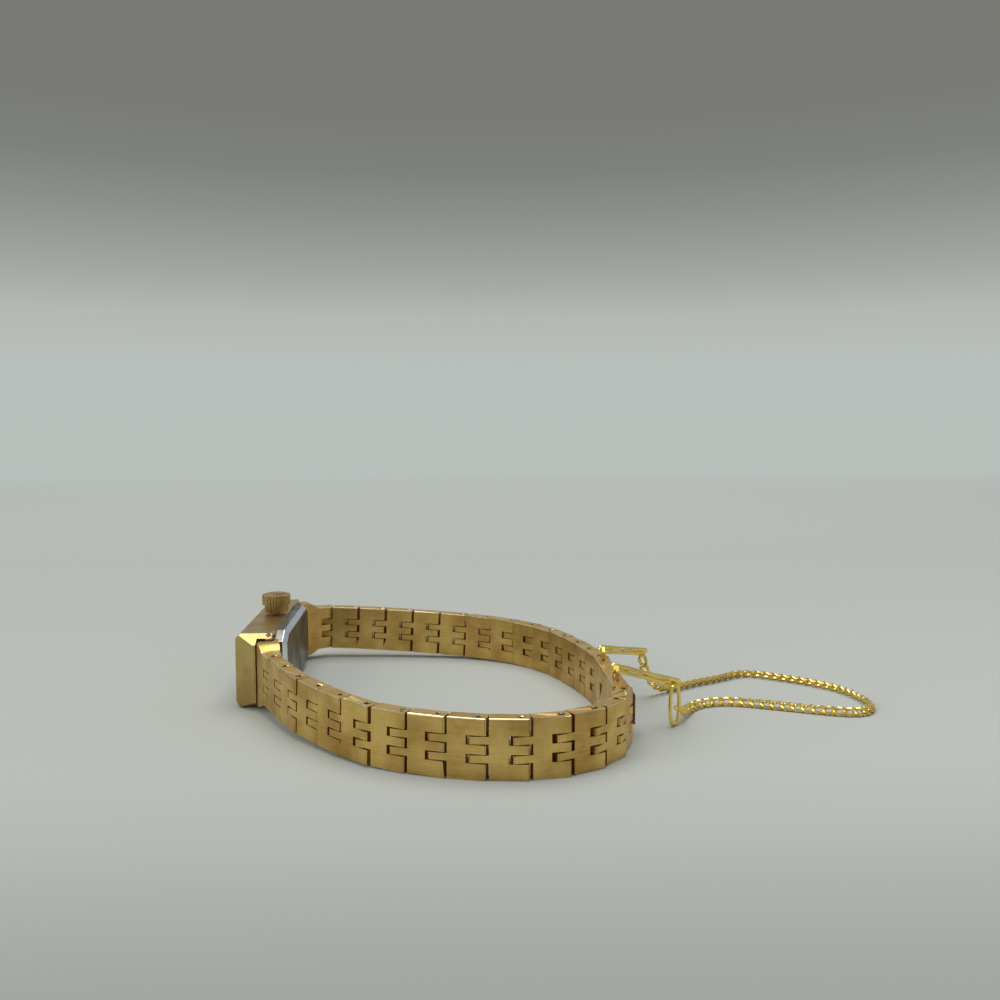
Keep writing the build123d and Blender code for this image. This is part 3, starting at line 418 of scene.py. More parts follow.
class Finishes:
    """Every finish of the watch, built once."""

    def __init__(self) -> None:
        """Makes the materials."""
        plate_dark, plate_light = tone(0.66, 0.50, 0.24), tone(0.94, 0.81, 0.50)
        self.band = Metal(
            "brushed_gold_plate", plate_dark, plate_light, rough=0.30, grain=Grain.BAND, grain_depth=0.8
        ).make()
        # Painted highlight: the band's rounded long edges take a paler gold than the plating; their lower
        # roughness is the rubbed metal.
        self.band_edge_wear_and_highlight = Metal(
            "rubbed_gold_edge_and_painted_highlight", plate_light, tone(1.0, 0.94, 0.76), rough=0.16, grain_depth=0.2, tarnish=0.3
        ).make()
        self.seam = Metal("grimy_seam", tone(0.16, 0.11, 0.05), tone(0.40, 0.29, 0.14), rough=0.5).make()
        self.hinge = Metal(
            "dark_hinge_pin", tone(0.16, 0.12, 0.07), tone(0.34, 0.26, 0.15), rough=0.45
        ).make()
        self.case = Metal(
            "satin_gold_case",
            tone(0.60, 0.49, 0.27),
            tone(0.80, 0.69, 0.45),
            rough=0.26,
            grain=Grain.AXIS_Y,
        ).make()
        # Painted highlight: the rounded edges of the case and crown take a paler gold than the case; their
        # lower roughness is the rubbed metal.
        self.case_edge_wear_and_highlight = Metal(
            "rubbed_case_edge_and_painted_highlight", tone(0.80, 0.68, 0.42), tone(0.96, 0.88, 0.68), rough=0.14, grain_depth=0.2
        ).make()
        self.crown = Metal(
            "worn_crown", tone(0.48, 0.36, 0.18), tone(0.84, 0.70, 0.44), rough=0.34, tarnish=0.8
        ).make()
        self.tab = Metal(
            "coppery_tab",
            tone(0.36, 0.22, 0.13),
            tone(0.66, 0.46, 0.31),
            rough=0.3,
            grain_depth=0.4,
            tarnish=0.7,
        ).make()
        self.chain = Metal(
            "bright_chain_gold",
            tone(0.76, 0.60, 0.24),
            tone(0.98, 0.87, 0.50),
            rough=0.13,
            grain_depth=0.12,
            tarnish=0.3,
        ).make()
        self.back = Metal(
            "worn_steel_back",
            tone(0.36, 0.34, 0.31),
            tone(0.60, 0.59, 0.57),
            rough=0.34,
            grain=Grain.AXIS_Y,
            grain_depth=0.6,
            tarnish=0.7,
        ).make()
        # Painted highlight: the back's bevelled rim takes a much paler steel than the back; its lower
        # roughness is the polish.
        self.back_rim_polish_and_highlight = Metal(
            "polished_back_rim_and_painted_highlight",
            tone(0.66, 0.68, 0.71),
            tone(0.90, 0.92, 0.95),
            rough=0.12,
            grain_depth=0.15,
            tarnish=0.3,
        ).make()
        self.steel = Metal(
            "polished_steel",
            tone(0.48, 0.48, 0.48),
            tone(0.78, 0.78, 0.80),
            rough=0.2,
            grain_depth=0.2,
            tarnish=0.3,
        ).make()
        self.plates = Metal(
            "gilt_movement_plate",
            tone(0.62, 0.52, 0.34),
            tone(0.84, 0.76, 0.56),
            rough=0.34,
            grain=Grain.AXIS_Y,
            grain_depth=0.6,
            tarnish=0.4,
        ).make()
        self.wheels = Metal(
            "gilt_wheels",
            tone(0.68, 0.53, 0.26),
            tone(0.90, 0.76, 0.46),
            rough=0.22,
            grain_depth=0.3,
            tarnish=0.3,
        ).make()
        self.dial = Paint("cream_dial", tone(0.90, 0.88, 0.80), tone(0.83, 0.79, 0.68), rough=0.35).make()
        self.hands = Paint(
            "blued_hands", tone(0.06, 0.07, 0.12), tone(0.03, 0.03, 0.05), rough=0.25, metallic=0.6
        ).make()
        self.crystal = Crystal().make()


class Slot(IntEnum):
    """Which of a piece's materials a face takes. Pieces other than the band's have the first two."""

    BODY = 0
    EDGE = 1
    PIN = 2
    TAB = 3
    SEAM = 4
    EYELET = 5


@dataclass(frozen=True)
class LinkPlace:
    """Where a band piece lies.

    Attributes:
        origin: its hinge point.
        along: the band's direction there.
        across: the way across the band.
    """

    origin: Vector
    along: Vector
    across: Vector

    def local(self, point: Vector) -> Vector:
        """Reads a point in the band's own directions.

        Args:
            point: a point of the frame.

        Returns:
            How far it lies along, through and across the band.
        """
        offset = point - self.origin
        through = self.across.cross(self.along)
        return Vector((offset.dot(self.along), offset.dot(through), offset.dot(self.across)))


@dataclass
class Dresser:
    """Makes finished copies of CAD nodes, with rounded edges and a map for the grain.

    Attributes:
        finishes: the materials.
        flat_angle: faces that meet at less than this become one.
        rounded_angle: edges that turn by more than this are rounded.
        sharp_angle: edges that turn by more than this stay sharp in the shading.
        edge_steps: steps in a rounded edge.
        depth_on_map: how far a metre through the band reaches on the map.
        body_of: the body that each node rides on.
    """

    frame: dict
    finishes: Finishes
    flat_angle: float = math.radians(2.0)
    rounded_angle: float = math.radians(28.0)
    sharp_angle: float = math.radians(24.0)
    edge_steps: int = 2
    depth_on_map: float = 0.7
    body_of: dict[str, str] = field(init=False)

    def __post_init__(self) -> None:
        """Reads which body each node rides on."""
        bodies = self.frame["record"]["behaviour"]["bodies"]
        self.body_of = {node: body for body, nodes in bodies.items() for node in nodes}

    def paint_node(self, node: str, material: bpy.types.Material) -> None:
        """Gives a CAD node that stays as it is a material.

        Args:
            node: the CAD node.
            material: its one material.
        """
        mesh = self.frame["nodes"][node].data
        mesh.materials.clear()
        mesh.materials.append(material)

    def welded_copy(self, node: str) -> bmesh.types.BMesh:
        """Copies a node's mesh with its loose triangles joined.

        Args:
            node: the CAD node.

        Returns:
            The copy.
        """
        shape = bmesh.new()
        shape.from_mesh(self.frame["nodes"][node].data)
        bmesh.ops.remove_doubles(shape, verts=shape.verts, dist=WELD_DISTANCE)
        return shape

    def merged_copy(self, node: str) -> bmesh.types.BMesh:
        """Copies a node's mesh with its triangles joined into flat faces.

        Args:
            node: the CAD node.

        Returns:
            The copy.
        """
        shape = self.welded_copy(node)
        bmesh.ops.dissolve_limit(
            shape,
            angle_limit=self.flat_angle,
            use_dissolve_boundaries=False,
            verts=shape.verts,
            edges=shape.edges,
        )
        return shape

    def finish_piece(
        self,
        node: str,
        shape: bmesh.types.BMesh,
        materials: list[bpy.types.Material],
        bevel: float = 0.0,
        edge_slot: Slot = Slot.BODY,
    ) -> None:
        """Turns a shape into a piece that stands for a node.

        Args:
            node: the CAD node that it stands for.
            shape: the shape, which is used up.
            materials: its materials.
            bevel: width of its rounded edges in metres.
            edge_slot: which material the rounded edges take.
        """
        mesh = bpy.data.meshes.new(node + "_finished")
        shape.to_mesh(mesh)
        shape.free()
        for material in materials:
            mesh.materials.append(material)
        piece = bpy.data.objects.new(node + "_finished", mesh)
        bpy.context.scene.collection.objects.link(piece)
        if bevel > 0:
            rounding = piece.modifiers.new("rounded edges", "BEVEL")
            rounding.width = bevel
            rounding.segments = self.edge_steps
            rounding.limit_method = "ANGLE"
            rounding.angle_limit = self.rounded_angle
            rounding.material = edge_slot
            rounding.harden_normals = True
            rounding.use_clamp_overlap = True
        for polygon in mesh.polygons:
            polygon.use_smooth = True
        mesh.set_sharp_from_angle(angle=self.sharp_angle)
        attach(piece, self.body_of[node])
        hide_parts(node)
        LOG.info("finished %s with %d faces", node, len(mesh.polygons))

    def band_map(self, shape: bmesh.types.BMesh, place: LinkPlace) -> None:
        """Lays a map on the shape: along the band, and across it or through it.

        Args:
            shape: the band piece.
            place: where it lies.
        """
        layer = shape.loops.layers.uv.new(BAND_MAP)
        for face in shape.faces:
            for loop in face.loops:
                local = place.local(loop.vert.co)
                loop[layer].uv = (local.x, local.z + local.y * self.depth_on_map)


@dataclass
class Band:
    """The bracelet: end pieces, links and both halves of the clasp.

    Attributes:
        dresser: what finishes the pieces.
        links_per_arm: brick links between an end piece and the clasp.
        fine_edge: width of the seams' rounded edges.
        long_edge: width of the rubbed edges that run along the band, which are painted paler as a highlight.
        long_edge_steps: steps in such an edge.
        edge_reach: how far from the band's edge such an edge may lie.
        run_along: share of its length that such an edge runs along the band.
        tab_reach: how far the thumb tab stands off the band, and how near its middle it stays.
        pin_width: a hinge pin is thinner than this.
        pin_length: a hinge pin is longer than this.
        eyelet_gap: height over the band's edge at which an eyelet starts.
        joints: the joint that carries each body.
        edge_level: how far the band's edge lies from its middle.
    """

    dresser: Dresser
    links_per_arm: int = 13
    fine_edge: float = 0.035 * MM
    long_edge: float = 0.13 * MM
    long_edge_steps: int = 2
    edge_reach: float = 0.15 * MM
    run_along: float = 0.8
    tab_reach: float = 1.0 * MM
    pin_width: float = 0.9 * MM
    pin_length: float = 3 * MM
    eyelet_gap: float = 0.05 * MM
    joints: dict[str, dict] = field(init=False)
    edge_level: float = field(init=False)

    def __post_init__(self) -> None:
        """Reads the joints, and the band's width from one link."""
        self.joints = {joint["child"]: joint for joint in self.dresser.frame["joints"]}
        low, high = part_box("link_6_05")
        self.edge_level = (high.z - low.z) / 2

    def pieces_of(self, clock: str) -> list[str]:
        """The pieces of the arm on one hour's side, from the case to the clasp."""
        links = [f"link_{clock}_{number:02d}" for number in range(1, self.links_per_arm + 1)]
        return [f"end_link_{clock}", *links, "clasp_box" if clock == "12" else "clasp_tongue"]

    def place_of(self, names: list[str], number: int) -> LinkPlace:
        """Finds the place of one piece of an arm.

        Args:
            names: the arm's pieces in order.
            number: which of them.

        Returns:
            Its place, which runs from its own hinge to the next one, or to the last piece's middle.
        """
        here = Vector(self.joints[names[number]]["pos_m"])
        if number == len(names) - 1:
            low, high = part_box(names[number])
            along = (low + high) / 2 - here
            along.z = 0
        else:
            along = Vector(self.joints[names[number + 1]]["pos_m"]) - here
        along.normalize()
        across = (UPWARDS - along * along.z).normalized()
        return LinkPlace(here, along, across)

    def build(self) -> None:
        """Dresses both arms."""
        finishes = self.dresser.finishes
        # The second material, on the rounded long edges, is paler gold as a painted highlight.
        materials = [finishes.band, finishes.band_edge_wear_and_highlight, finishes.hinge, finishes.tab]
        materials += [finishes.seam, finishes.chain]
        for clock in ("12", "6"):
            names = self.pieces_of(clock)
            for number, node in enumerate(names):
                place = self.place_of(names, number)
                shape = self.dresser.merged_copy(node)
                self.dresser.band_map(shape, place)
                self.mark_faces(shape, node, place)
                self.round_long_edges(shape, place)
                self.dresser.finish_piece(node, shape, materials, self.fine_edge, Slot.SEAM)

    def is_long_edge(self, edge: bmesh.types.BMEdge, place: LinkPlace) -> bool:
        """Tells whether an edge runs along the band, at the band's edge.

        Args:
            edge: the edge.
            place: where its piece lies.

        Returns:
            True where it does.
        """
        first, second = (place.local(vert.co) for vert in edge.verts)
        level = min(abs(first.z), abs(second.z))
        runs_along = abs(first.x - second.x) > self.run_along * (first - second).length
        at_edge = self.edge_level - self.edge_reach < level < self.edge_level + self.edge_reach
        return runs_along and at_edge and edge.is_manifold

    def round_long_edges(self, shape: bmesh.types.BMesh, place: LinkPlace) -> None:
        """Rounds the edges that run along the band and gives them the rubbed edge material, whose paler
        colour is a painted highlight.

        Args:
            shape: the band piece.
            place: where it lies.
        """
        bmesh.ops.bevel(
            shape,
            geom=[edge for edge in shape.edges if self.is_long_edge(edge, place)],
            offset=self.long_edge,
            affect="EDGES",
            segments=self.long_edge_steps,
            profile=0.5,
            material=Slot.EDGE,
        )

    def mark_faces(self, shape: bmesh.types.BMesh, node: str, place: LinkPlace) -> None:
        """Gives the hinge pins, the thumb tab and the eyelets their own materials.

        Args:
            shape: the band piece.
            node: the CAD node that it stands for.
            place: where it lies.
        """
        tongue = node == "clasp_tongue"
        for island in islands(shape):
            middle, size = place.local(middle_of(island)), size_of(island)
            slot = Slot.BODY
            if tongue and abs(middle.y) > self.tab_reach and abs(middle.z) < self.tab_reach:
                slot = Slot.TAB
            elif not tongue and max(size.x, size.y) < self.pin_width and size.z > self.pin_length:
                slot = Slot.PIN
            for face in {face for vert in island for face in vert.link_faces}:
                height = place.local(face.calc_center_median()).z
                eyelet = node.startswith("clasp") and height > self.edge_level + self.eyelet_gap
                face.material_index = Slot.EYELET if eyelet else slot


def islands(shape: bmesh.types.BMesh) -> list[list[bmesh.types.BMVert]]:
    """Finds the separate pieces of a shape.

    Args:
        shape: the shape.

    Returns:
        The vertices of each piece.
    """
    seen: set[bmesh.types.BMVert] = set()
    found = []
    for start in shape.verts:
        if start in seen:
            continue
        seen.add(start)
        group, waiting = [], [start]
        while waiting:
            vert = waiting.pop()
            group.append(vert)
            for edge in vert.link_edges:
                other = edge.other_vert(vert)
                if other not in seen:
                    seen.add(other)
                    waiting.append(other)
        found.append(group)
    return found


def corners_of(verts: list[bmesh.types.BMVert]) -> tuple[Vector, Vector]:
    """The lowest and highest corner of a group's box."""
    low = Vector(min(vert.co[axis] for vert in verts) for axis in range(3))
    return low, Vector(max(vert.co[axis] for vert in verts) for axis in range(3))


def middle_of(verts: list[bmesh.types.BMVert]) -> Vector:
    """The middle of a group's box."""
    low, high = corners_of(verts)
    return (low + high) / 2


def size_of(verts: list[bmesh.types.BMVert]) -> Vector:
    """The size of a group's box."""
    low, high = corners_of(verts)
    return high - low


def set_in_place(shape: bmesh.types.BMesh, centre: Vector, axes: tuple[Vector, Vector, Vector]) -> None:
    """Moves a shape to a point and turns it.

    Args:
        shape: the shape, made at the origin.
        centre: where its origin goes.
        axes: the ways that its own x, y and z then point.
    """
    turn = Matrix(axes).transposed().to_4x4()
    bmesh.ops.transform(shape, matrix=Matrix.Translation(centre) @ turn, verts=shape.verts)


def add_shape(whole: bmesh.types.BMesh, part: bmesh.types.BMesh) -> None:
    """Adds one shape to another.

    Args:
        whole: the shape that grows.
        part: the shape that is added, which is used up.
    """
    mesh = bpy.data.meshes.new("joining")
    part.to_mesh(mesh)
    part.free()
    whole.from_mesh(mesh)
    bpy.data.meshes.remove(mesh)


@dataclass
class WireRing:
    """An oval ring of round wire, twisted about its length as a curb link is.

    Attributes:
        length: outer length in metres.
        width: outer width.
        wire: thickness of the wire.
        twist: how far each end turns about the length, in radians.
        steps: steps round the ring.
        sides: sides of the wire.
        pinch: share by which the waist is narrower.
        roundness: how much of each end keeps the ring's first curve. At 1 the ring is an even oval.
        roll: how far the whole ring is turned about its length, in radians.
    """

    length: float
    width: float
    wire: float
    twist: float = 0.0
    steps: int = 16
    sides: int = 7
    pinch: float = 0.0
    roundness: float = 1.6
    roll: float = 0.0

    def shape(self) -> bmesh.types.BMesh:
        """Builds the ring along x, flat in the xy plane before its twist.

        Returns:
            The ring.
        """
        ring = bmesh.new()
        bend = self.width / 2 - self.wire / 2
        section = bmesh.ops.create_circle(
            ring,
            cap_ends=False,
            segments=self.sides,
            radius=self.wire / 2,
            matrix=Matrix.Translation((0, bend, 0)) @ Matrix.Rotation(math.pi / 2, 4, "Y"),
        )
        bmesh.ops.spin(
            ring,
            geom=section["verts"] + list({edge for vert in section["verts"] for edge in vert.link_edges}),
            cent=(0, 0, 0),
            axis=(0, 0, 1),
            angle=2 * math.pi,
            steps=self.steps,
            use_merge=True,
        )
        stretch = (self.length - self.width) / 2
        for vert in ring.verts:
            share = max(-1.0, min(1.0, vert.co.x / bend * self.roundness))
            vert.co.y -= math.copysign(self.pinch * bend, vert.co.y) * (1.0 - abs(share))
            vert.co.x += stretch * share
        for vert in ring.verts:
            turn = self.twist * vert.co.x / (self.length / 2)
            vert.co = Matrix.Rotation(turn, 3, "X") @ vert.co
        bmesh.ops.transform(ring, matrix=Matrix.Rotation(self.roll, 4, "X"), verts=ring.verts)
        bmesh.ops.recalc_face_normals(ring, faces=ring.faces)
        return ring


@dataclass
class SafetyChain:
    """The twisted curb chain, its jump ring and the two wire links.

    Attributes:
        dresser: what finishes the pieces.
        lengths: the chain's nodes, in order from the near arm.
        wire_links: the nodes between the chain and the clasp's eyelets.
        curb_link: one link of the chain.
        longest_link: a ring of the CAD chain that is longer than this isn't a curb link.
        steepest: least share by which a link still leans out of the upright.
        jump_width: width of the jump ring.
        jump_wire: thickness of its wire.
        jump_steps: steps round it.
        long_width: width of a wire link.
        long_wire: thickness of its wire.
        long_twist: how far each of its ends turns.
        long_steps: steps round it.
        long_pinch: share by which its waist is narrower.
        wire_sides: sides of the wire of the jump ring and the wire links.
    """

    dresser: Dresser
    lengths: tuple[str, ...] = ("chain_1", "chain_2", "chain_3")
    wire_links: tuple[str, ...] = ("wire_link_12", "wire_link_6")
    curb_link: WireRing = field(
        default_factory=lambda: WireRing(
            length=2.0 * MM, width=1.34 * MM, wire=0.42 * MM, twist=math.radians(46.0), roll=math.radians(45)
        )
    )
    longest_link: float = 4 * MM
    steepest: float = 0.2
    jump_width: float = 2.6 * MM
    jump_wire: float = 0.46 * MM
    jump_steps: int = 24
    long_width: float = 1.35 * MM
    long_wire: float = 0.5 * MM
    long_twist: float = math.radians(35)
    long_steps: int = 28
    long_pinch: float = 0.42
    wire_sides: int = 10

    def build(self) -> None:
        """Builds the chain and its links."""
        material = self.dresser.finishes.chain
        centres = {node: self.link_centres(node) for node in self.lengths}
        run = [centre for node in self.lengths for centre in centres[node]]
        number = 0
        for node in self.lengths:
            whole = bmesh.new()
            for centre in centres[node]:
                before, after = run[max(number - 1, 0)], run[min(number + 1, len(run) - 1)]
                self.add_link(whole, centre, after - before)
                number += 1
            if node == self.lengths[0]:
                self.add_jump_ring(whole, node)
            self.dresser.finish_piece(node, whole, [material])
        for node in self.wire_links:
            self.dresser.finish_piece(node, self.wire_link(node), [material])

    def link_centres(self, node: str) -> list[Vector]:
        """Finds the curb links of one length of chain in the CAD solids.

        Args:
            node: the length's CAD node.

        Returns:
            The middle of each link, in order.
        """
        shape = self.dresser.welded_copy(node)
        found = [middle_of(group) for group in islands(shape) if max(size_of(group)) < self.longest_link]
        shape.free()
        return found

    def add_link(self, whole: bmesh.types.BMesh, centre: Vector, direction: Vector) -> None:
        """Adds one curb link to a length of chain.

        Args:
            whole: the length of chain.
            centre: the link's middle.
            direction: the way that the chain runs there.
        """
        ring = self.curb_link.shape()
        along = direction.normalized()
        side = UPWARDS.cross(along)
        side = side.normalized() if side.length > self.steepest else Vector((0, 1, 0))
        up = along.cross(side).normalized()
        set_in_place(ring, centre, (along, side, up))
        add_shape(whole, ring)

    def add_jump_ring(self, whole: bmesh.types.BMesh, node: str) -> None:
        """Adds the oval jump ring that stands on the table.

        Args:
            whole: the length of chain that it belongs to.
            node: that length's CAD node, whose longest ring it is.
        """
        shape = self.dresser.welded_copy(node)
        group = max(islands(shape), key=lambda verts: max(size_of(verts)))
        centre, size = middle_of(group), size_of(group)
        corner = max(group, key=lambda vert: (vert.co - centre).to_2d().length).co.copy()
        shape.free()
        side = (corner - centre).to_2d().normalized().to_3d()
        ring = WireRing(
            size.z, self.jump_width, self.jump_wire, steps=self.jump_steps, sides=self.wire_sides
        ).shape()
        set_in_place(ring, centre, (UPWARDS, side, UPWARDS.cross(side)))
        add_shape(whole, ring)

    def wire_link(self, node: str) -> bmesh.types.BMesh:
        """Builds one long wire link, a twisted loop of round wire that is narrow at its waist.

        Args:
            node: the CAD node whose place and length it takes.

        Returns:
            The link.
        """
        shape = self.dresser.merged_copy(node)
        points = [vert.co.copy() for vert in shape.verts]
        shape.free()
        centre = sum(points, Vector()) / len(points)
        far = max(points, key=lambda point: (point - centre).length)
        along = (far - centre).normalized()
        length = 2 * max(abs((point - centre).dot(along)) for point in points)
        side = UPWARDS.cross(along).normalized()
        up = along.cross(side).normalized()
        ring = WireRing(
            length,
            self.long_width,
            self.long_wire,
            twist=self.long_twist,
            steps=self.long_steps,
            sides=self.wire_sides,
            pinch=self.long_pinch,
        ).shape()
        set_in_place(ring, centre, (along, up, along.cross(up)))
        return ring


@dataclass
class Case:
    """The case, its back, crystal, dial and hands, and the movement inside it.

    Attributes:
        dresser: what finishes the pieces.
        body_edge: width of the case's rounded edges.
        back_edge: width of the back's rounded edges.
        crown_edge: width of the crown's rounded edges.
        rim_slope: share of X in the normal of the back's bevelled rim, from and to.
    """

    dresser: Dresser
    body_edge: float = 0.12 * MM
    back_edge: float = 0.08 * MM
    crown_edge: float = 0.03 * MM
    rim_slope: Span = (0.2, 0.95)

    def build(self) -> None:
        """Dresses every node that rides with the case or inside it."""
        finishes = self.dresser.finishes
        # The case's and crown's rounded edges take the paler edge gold, a painted highlight.
        self.rounded("mid_case", [finishes.case, finishes.case_edge_wear_and_highlight], self.body_edge)
        # The back's bevelled rim takes the paler rim steel, a painted highlight.
        self.rounded("case_back", [finishes.back, finishes.back_rim_polish_and_highlight], self.back_edge, self.mark_rim)
        self.rounded("crown", [finishes.crown, finishes.case_edge_wear_and_highlight], self.crown_edge)
        kept_as_they_are = (
            (finishes.steel, ("spring_bars", "winding_stem", "setting_lever", "movement_screws")),
            (finishes.steel, ("pallet_fork", "crown_wheel", "ratchet_wheel")),
            (finishes.plates, ("main_plate", "barrel_bridge", "train_bridge", "balance_cock")),
            (finishes.wheels, ("barrel", "centre_wheel", "third_wheel", "fourth_wheel")),
            (finishes.wheels, ("escape_wheel", "balance", "minute_wheel")),
            (finishes.dial, ("dial",)),
            (finishes.hands, ("hour_hand", "minute_hand")),
            (finishes.crystal, ("crystal",)),
        )
        for material, nodes in kept_as_they_are:
            for node in nodes:
                self.dresser.paint_node(node, material)

    def rounded(
        self,
        node: str,
        materials: list[bpy.types.Material],
        bevel: float,
        mark: Optional[Callable[[bmesh.types.BMesh], None]] = None,
    ) -> None:
        """Dresses one node with rounded edges.

        Args:
            node: the CAD node.
            materials: its body's and its edges' material.
            bevel: width of its rounded edges in metres.
            mark: what marks its faces first.
        """
        shape = self.dresser.merged_copy(node)
        if mark:
            mark(shape)
        self.dresser.finish_piece(node, shape, materials, bevel, Slot.EDGE)

    def mark_rim(self, shape: bmesh.types.BMesh) -> None:
        """Gives the back's bevelled rim its smoother finish, painted brighter than the back as a highlight.

        Args:
            shape: the case back.
        """
        low, high = self.rim_slope
        shape.normal_update()
        # Slanted rim faces take the brighter material, a painted highlight.
        for face in shape.faces:
            face.material_index = Slot.EDGE if low < abs(face.normal.x) < high else Slot.BODY


@dataclass(frozen=True)
class Lamp:
    """A square soft light that points at the watch.

    Attributes:
        name: its name.
        at: where it hangs, in metres.
        size: its side in metres.
        power: its power in watts.
        colour: its colour.
        aim: the point that it faces.
    """

    name: str
    at: Triple
    size: float
    power: float
    colour: Triple = (1.0, 0.985, 0.96)
    aim: Triple = (0.03, 0.0, 0.0)

    def add(self) -> None:
        """Adds it to the scene."""
        light = bpy.data.lights.new(self.name, "AREA")
        light.shape = "SQUARE"
        light.size = self.size
        light.energy = self.power
        light.color = self.colour
        holder = bpy.data.objects.new(self.name, light)
        bpy.context.scene.collection.objects.link(holder)
        holder.location = self.at
        holder.rotation_euler = (Vector(self.aim) - Vector(self.at)).to_track_quat("-Z", "Y").to_euler()


@dataclass(frozen=True)
class Camera:
    """The photograph's camera.

    Attributes:
        at: where it stands, in metres.
        heading: how far it is turned from Y towards X, in radians.
        pitch: how far it looks down.
        roll: how far it leans.
        focal_length: in millimetres.
        sensor_width: in millimetres.
        nearest: what is nearer isn't seen, in metres.
        farthest: what is farther isn't seen.
    """

    at: Triple = (0.01948, -0.13825, 0.03170)
    heading: float = math.radians(4.0)
    pitch: float = math.radians(4.32)
    roll: float = math.radians(-0.1)
    focal_length: float = 34.56
    sensor_width: float = 36.0
    nearest: float = 0.002
    farthest: float = 20.0

    def add(self) -> None:
        """Adds it to the scene, which looks through it."""
        level = math.cos(self.pitch)
        forward = Vector(
            (math.sin(self.heading) * level, math.cos(self.heading) * level, -math.sin(self.pitch))
        )
        right = forward.cross(UPWARDS).normalized()
        up = right.cross(forward).normalized()
        turn = Matrix((right, up, -forward)).transposed().to_4x4() @ Matrix.Rotation(self.roll, 4, "Z")
        lens = bpy.data.cameras.new("camera")
        lens.lens = self.focal_length
        lens.sensor_width = self.sensor_width
        lens.sensor_fit = "HORIZONTAL"
        lens.clip_start = self.nearest
        lens.clip_end = self.farthest
        camera = bpy.data.objects.new("camera", lens)
        bpy.context.scene.collection.objects.link(camera)
        camera.matrix_world = Matrix.Translation(self.at) @ turn
        bpy.context.scene.camera = camera


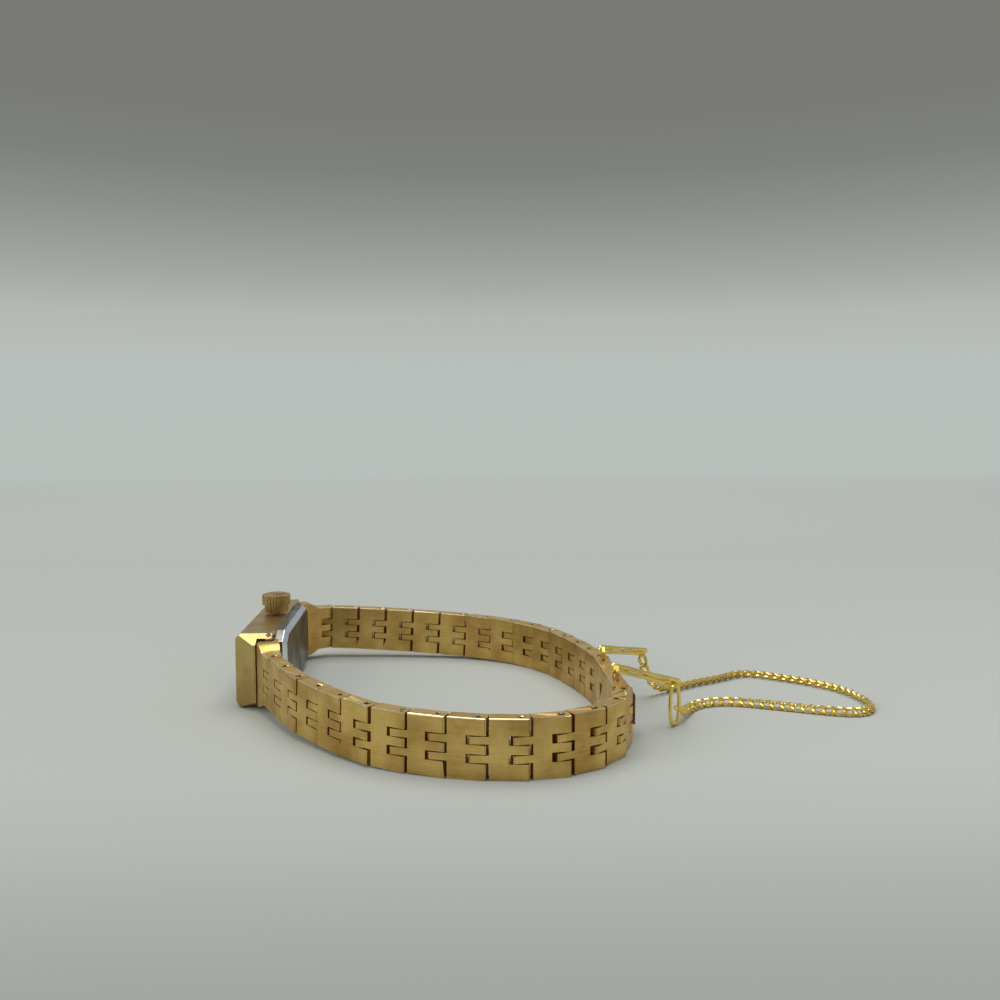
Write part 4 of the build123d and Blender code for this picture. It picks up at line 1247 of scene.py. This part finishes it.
@dataclass(frozen=True)
class Studio:
    """Floor, grey backdrop, light and camera. The tones are laid out for the photograph's view.

    Attributes:
        floor_z: height of the floor.
        floor_reach: how far the floor reaches each way from the middle.
        floor_rough: how evenly the floor spreads light.
        floor_depths: Y where the floor's tones start and end.
        floor_tones: place between those two and lightness, from near to far.
        floor_green: green for one share of red in the floor's tones.
        floor_blue: blue for one share of red in the floor's tones.
        far_floor: how the far floor looks to the camera.
        fading: Y where the near floor fades into the far floor, from and to.
        backdrop_top: height of a camera ray's direction at which the backdrop's tones end.
        backdrop_tones: place up to that height and colour.
        fill_colour: colour of the even light from all round.
        fill_strength: strength of that light.
        lamps: a broad light overhead and a weaker one from the camera's left.
    """

    floor_z: float = -4.9 * MM
    floor_reach: float = 3.0
    floor_rough: float = 0.6
    floor_depths: Span = (-0.08, 0.13)
    floor_tones: tuple[Span, ...] = (
        (0.0, 0.690),
        (0.06, 0.728),
        (0.12, 0.766),
        (0.20, 0.785),
        (0.34, 0.778),
        (0.70, 0.755),
        (1.0, 0.747),
    )
    floor_green: float = 1.014
    floor_blue: float = 0.984
    far_floor: Colour = tone(0.725, 0.75, 0.735)
    fading: Span = (0.12, 0.6)
    backdrop_top: float = 0.44
    backdrop_tones: tuple[tuple[float, Colour], ...] = (
        (0.0, tone(0.727, 0.752, 0.737)),
        (0.13, tone(0.727, 0.750, 0.737)),
        (0.254, tone(0.702, 0.722, 0.702)),
        (0.346, tone(0.637, 0.650, 0.630)),
        (0.414, tone(0.592, 0.604, 0.586)),
        (0.482, tone(0.546, 0.556, 0.538)),
        (0.569, tone(0.498, 0.508, 0.486)),
        (0.68, tone(0.474, 0.479, 0.457)),
        (1.0, tone(0.469, 0.474, 0.452)),
    )
    fill_colour: Colour = tone(0.80, 0.82, 0.83)
    fill_strength: float = 0.62
    lamps: tuple[Lamp, ...] = (
        Lamp("overhead", at=(0.05, 0.12, 0.75), size=0.6, power=3.6),
        Lamp("left_fill", at=(-0.55, -0.30, 0.35), size=0.4, power=1.0),
    )

    def build(self) -> None:
        """Builds the whole studio."""
        self.add_floor()
        self.add_world()
        for lamp in self.lamps:
            lamp.add()
        Camera().add()

    def add_floor(self) -> None:
        """Adds a plain pale floor."""
        shape = bmesh.new()
        bmesh.ops.create_grid(shape, x_segments=1, y_segments=1, size=self.floor_reach)
        for vert in shape.verts:
            vert.co.z = self.floor_z
        mesh = bpy.data.meshes.new("floor")
        shape.to_mesh(mesh)
        shape.free()
        mesh.materials.append(self.floor_material())
        floor = bpy.data.objects.new("floor", mesh)
        bpy.context.scene.collection.objects.link(floor)

    def floor_material(self) -> bpy.types.Material:
        """Makes the floor's colour: darkest near the camera, and plain to the camera far away.

        Returns:
            The material.
        """
        graph = Graph(bpy.data.materials.new("pale_table"))
        depth = graph.node("ShaderNodeSeparateXYZ", None, {"Vector": graph.place()}, "Y")
        stops = [
            (place, tone(light, light * self.floor_green, light * self.floor_blue))
            for place, light in self.floor_tones
        ]
        placed = {"Fac": depth.clipped(*self.floor_depths)}
        colour = graph.node("ShaderNodeValToRGB", {"stops": stops}, placed, "Color")
        lit = graph.node("ShaderNodeBsdfDiffuse", None, {"Color": colour, "Roughness": self.floor_rough})
        seen = graph.node("ShaderNodeEmission", None, {"Color": self.far_floor, "Strength": 1.0})
        camera = graph.node("ShaderNodeLightPath", None, None, "Is Camera Ray")
        far = depth.clipped(*self.fading) * camera
        return graph.ended(graph.node("ShaderNodeMixShader", None, {0: far, 1: lit, 2: seen}))

    def add_world(self) -> None:
        """Adds even light from all round, with a grey gradient behind the floor for the camera."""
        world = bpy.data.worlds.new("studio")
        bpy.context.scene.world = world
        graph = Graph(world)
        way = graph.node("ShaderNodeTexCoord", None, None, "Generated")
        height = graph.node("ShaderNodeSeparateXYZ", None, {"Vector": way}, "Z")
        stops, placed = list(self.backdrop_tones), {"Fac": height.clipped(0.0, self.backdrop_top)}
        ramp = graph.node("ShaderNodeValToRGB", {"stops": stops}, placed, "Color")
        seen = graph.node("ShaderNodeBackground", None, {"Color": ramp, "Strength": 1.0})
        fill_inputs = {"Color": self.fill_colour, "Strength": self.fill_strength}
        fill = graph.node("ShaderNodeBackground", None, fill_inputs)
        camera = graph.node("ShaderNodeLightPath", None, None, "Is Camera Ray")
        mixed = graph.node("ShaderNodeMixShader", None, {0: camera, 1: fill, 2: seen})
        graph.node("ShaderNodeOutputWorld", None, {"Surface": mixed})


def main() -> None:
    """Loads the frame, dresses it and lights it."""
    logging.basicConfig(level=logging.INFO, format="%(message)s")
    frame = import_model()
    bpy.context.scene.view_settings.view_transform = "Standard"
    dresser = Dresser(frame, Finishes())
    Case(dresser).build()
    Band(dresser).build()
    SafetyChain(dresser).build()
    Studio().build()


if __name__ == "__main__":
    main()
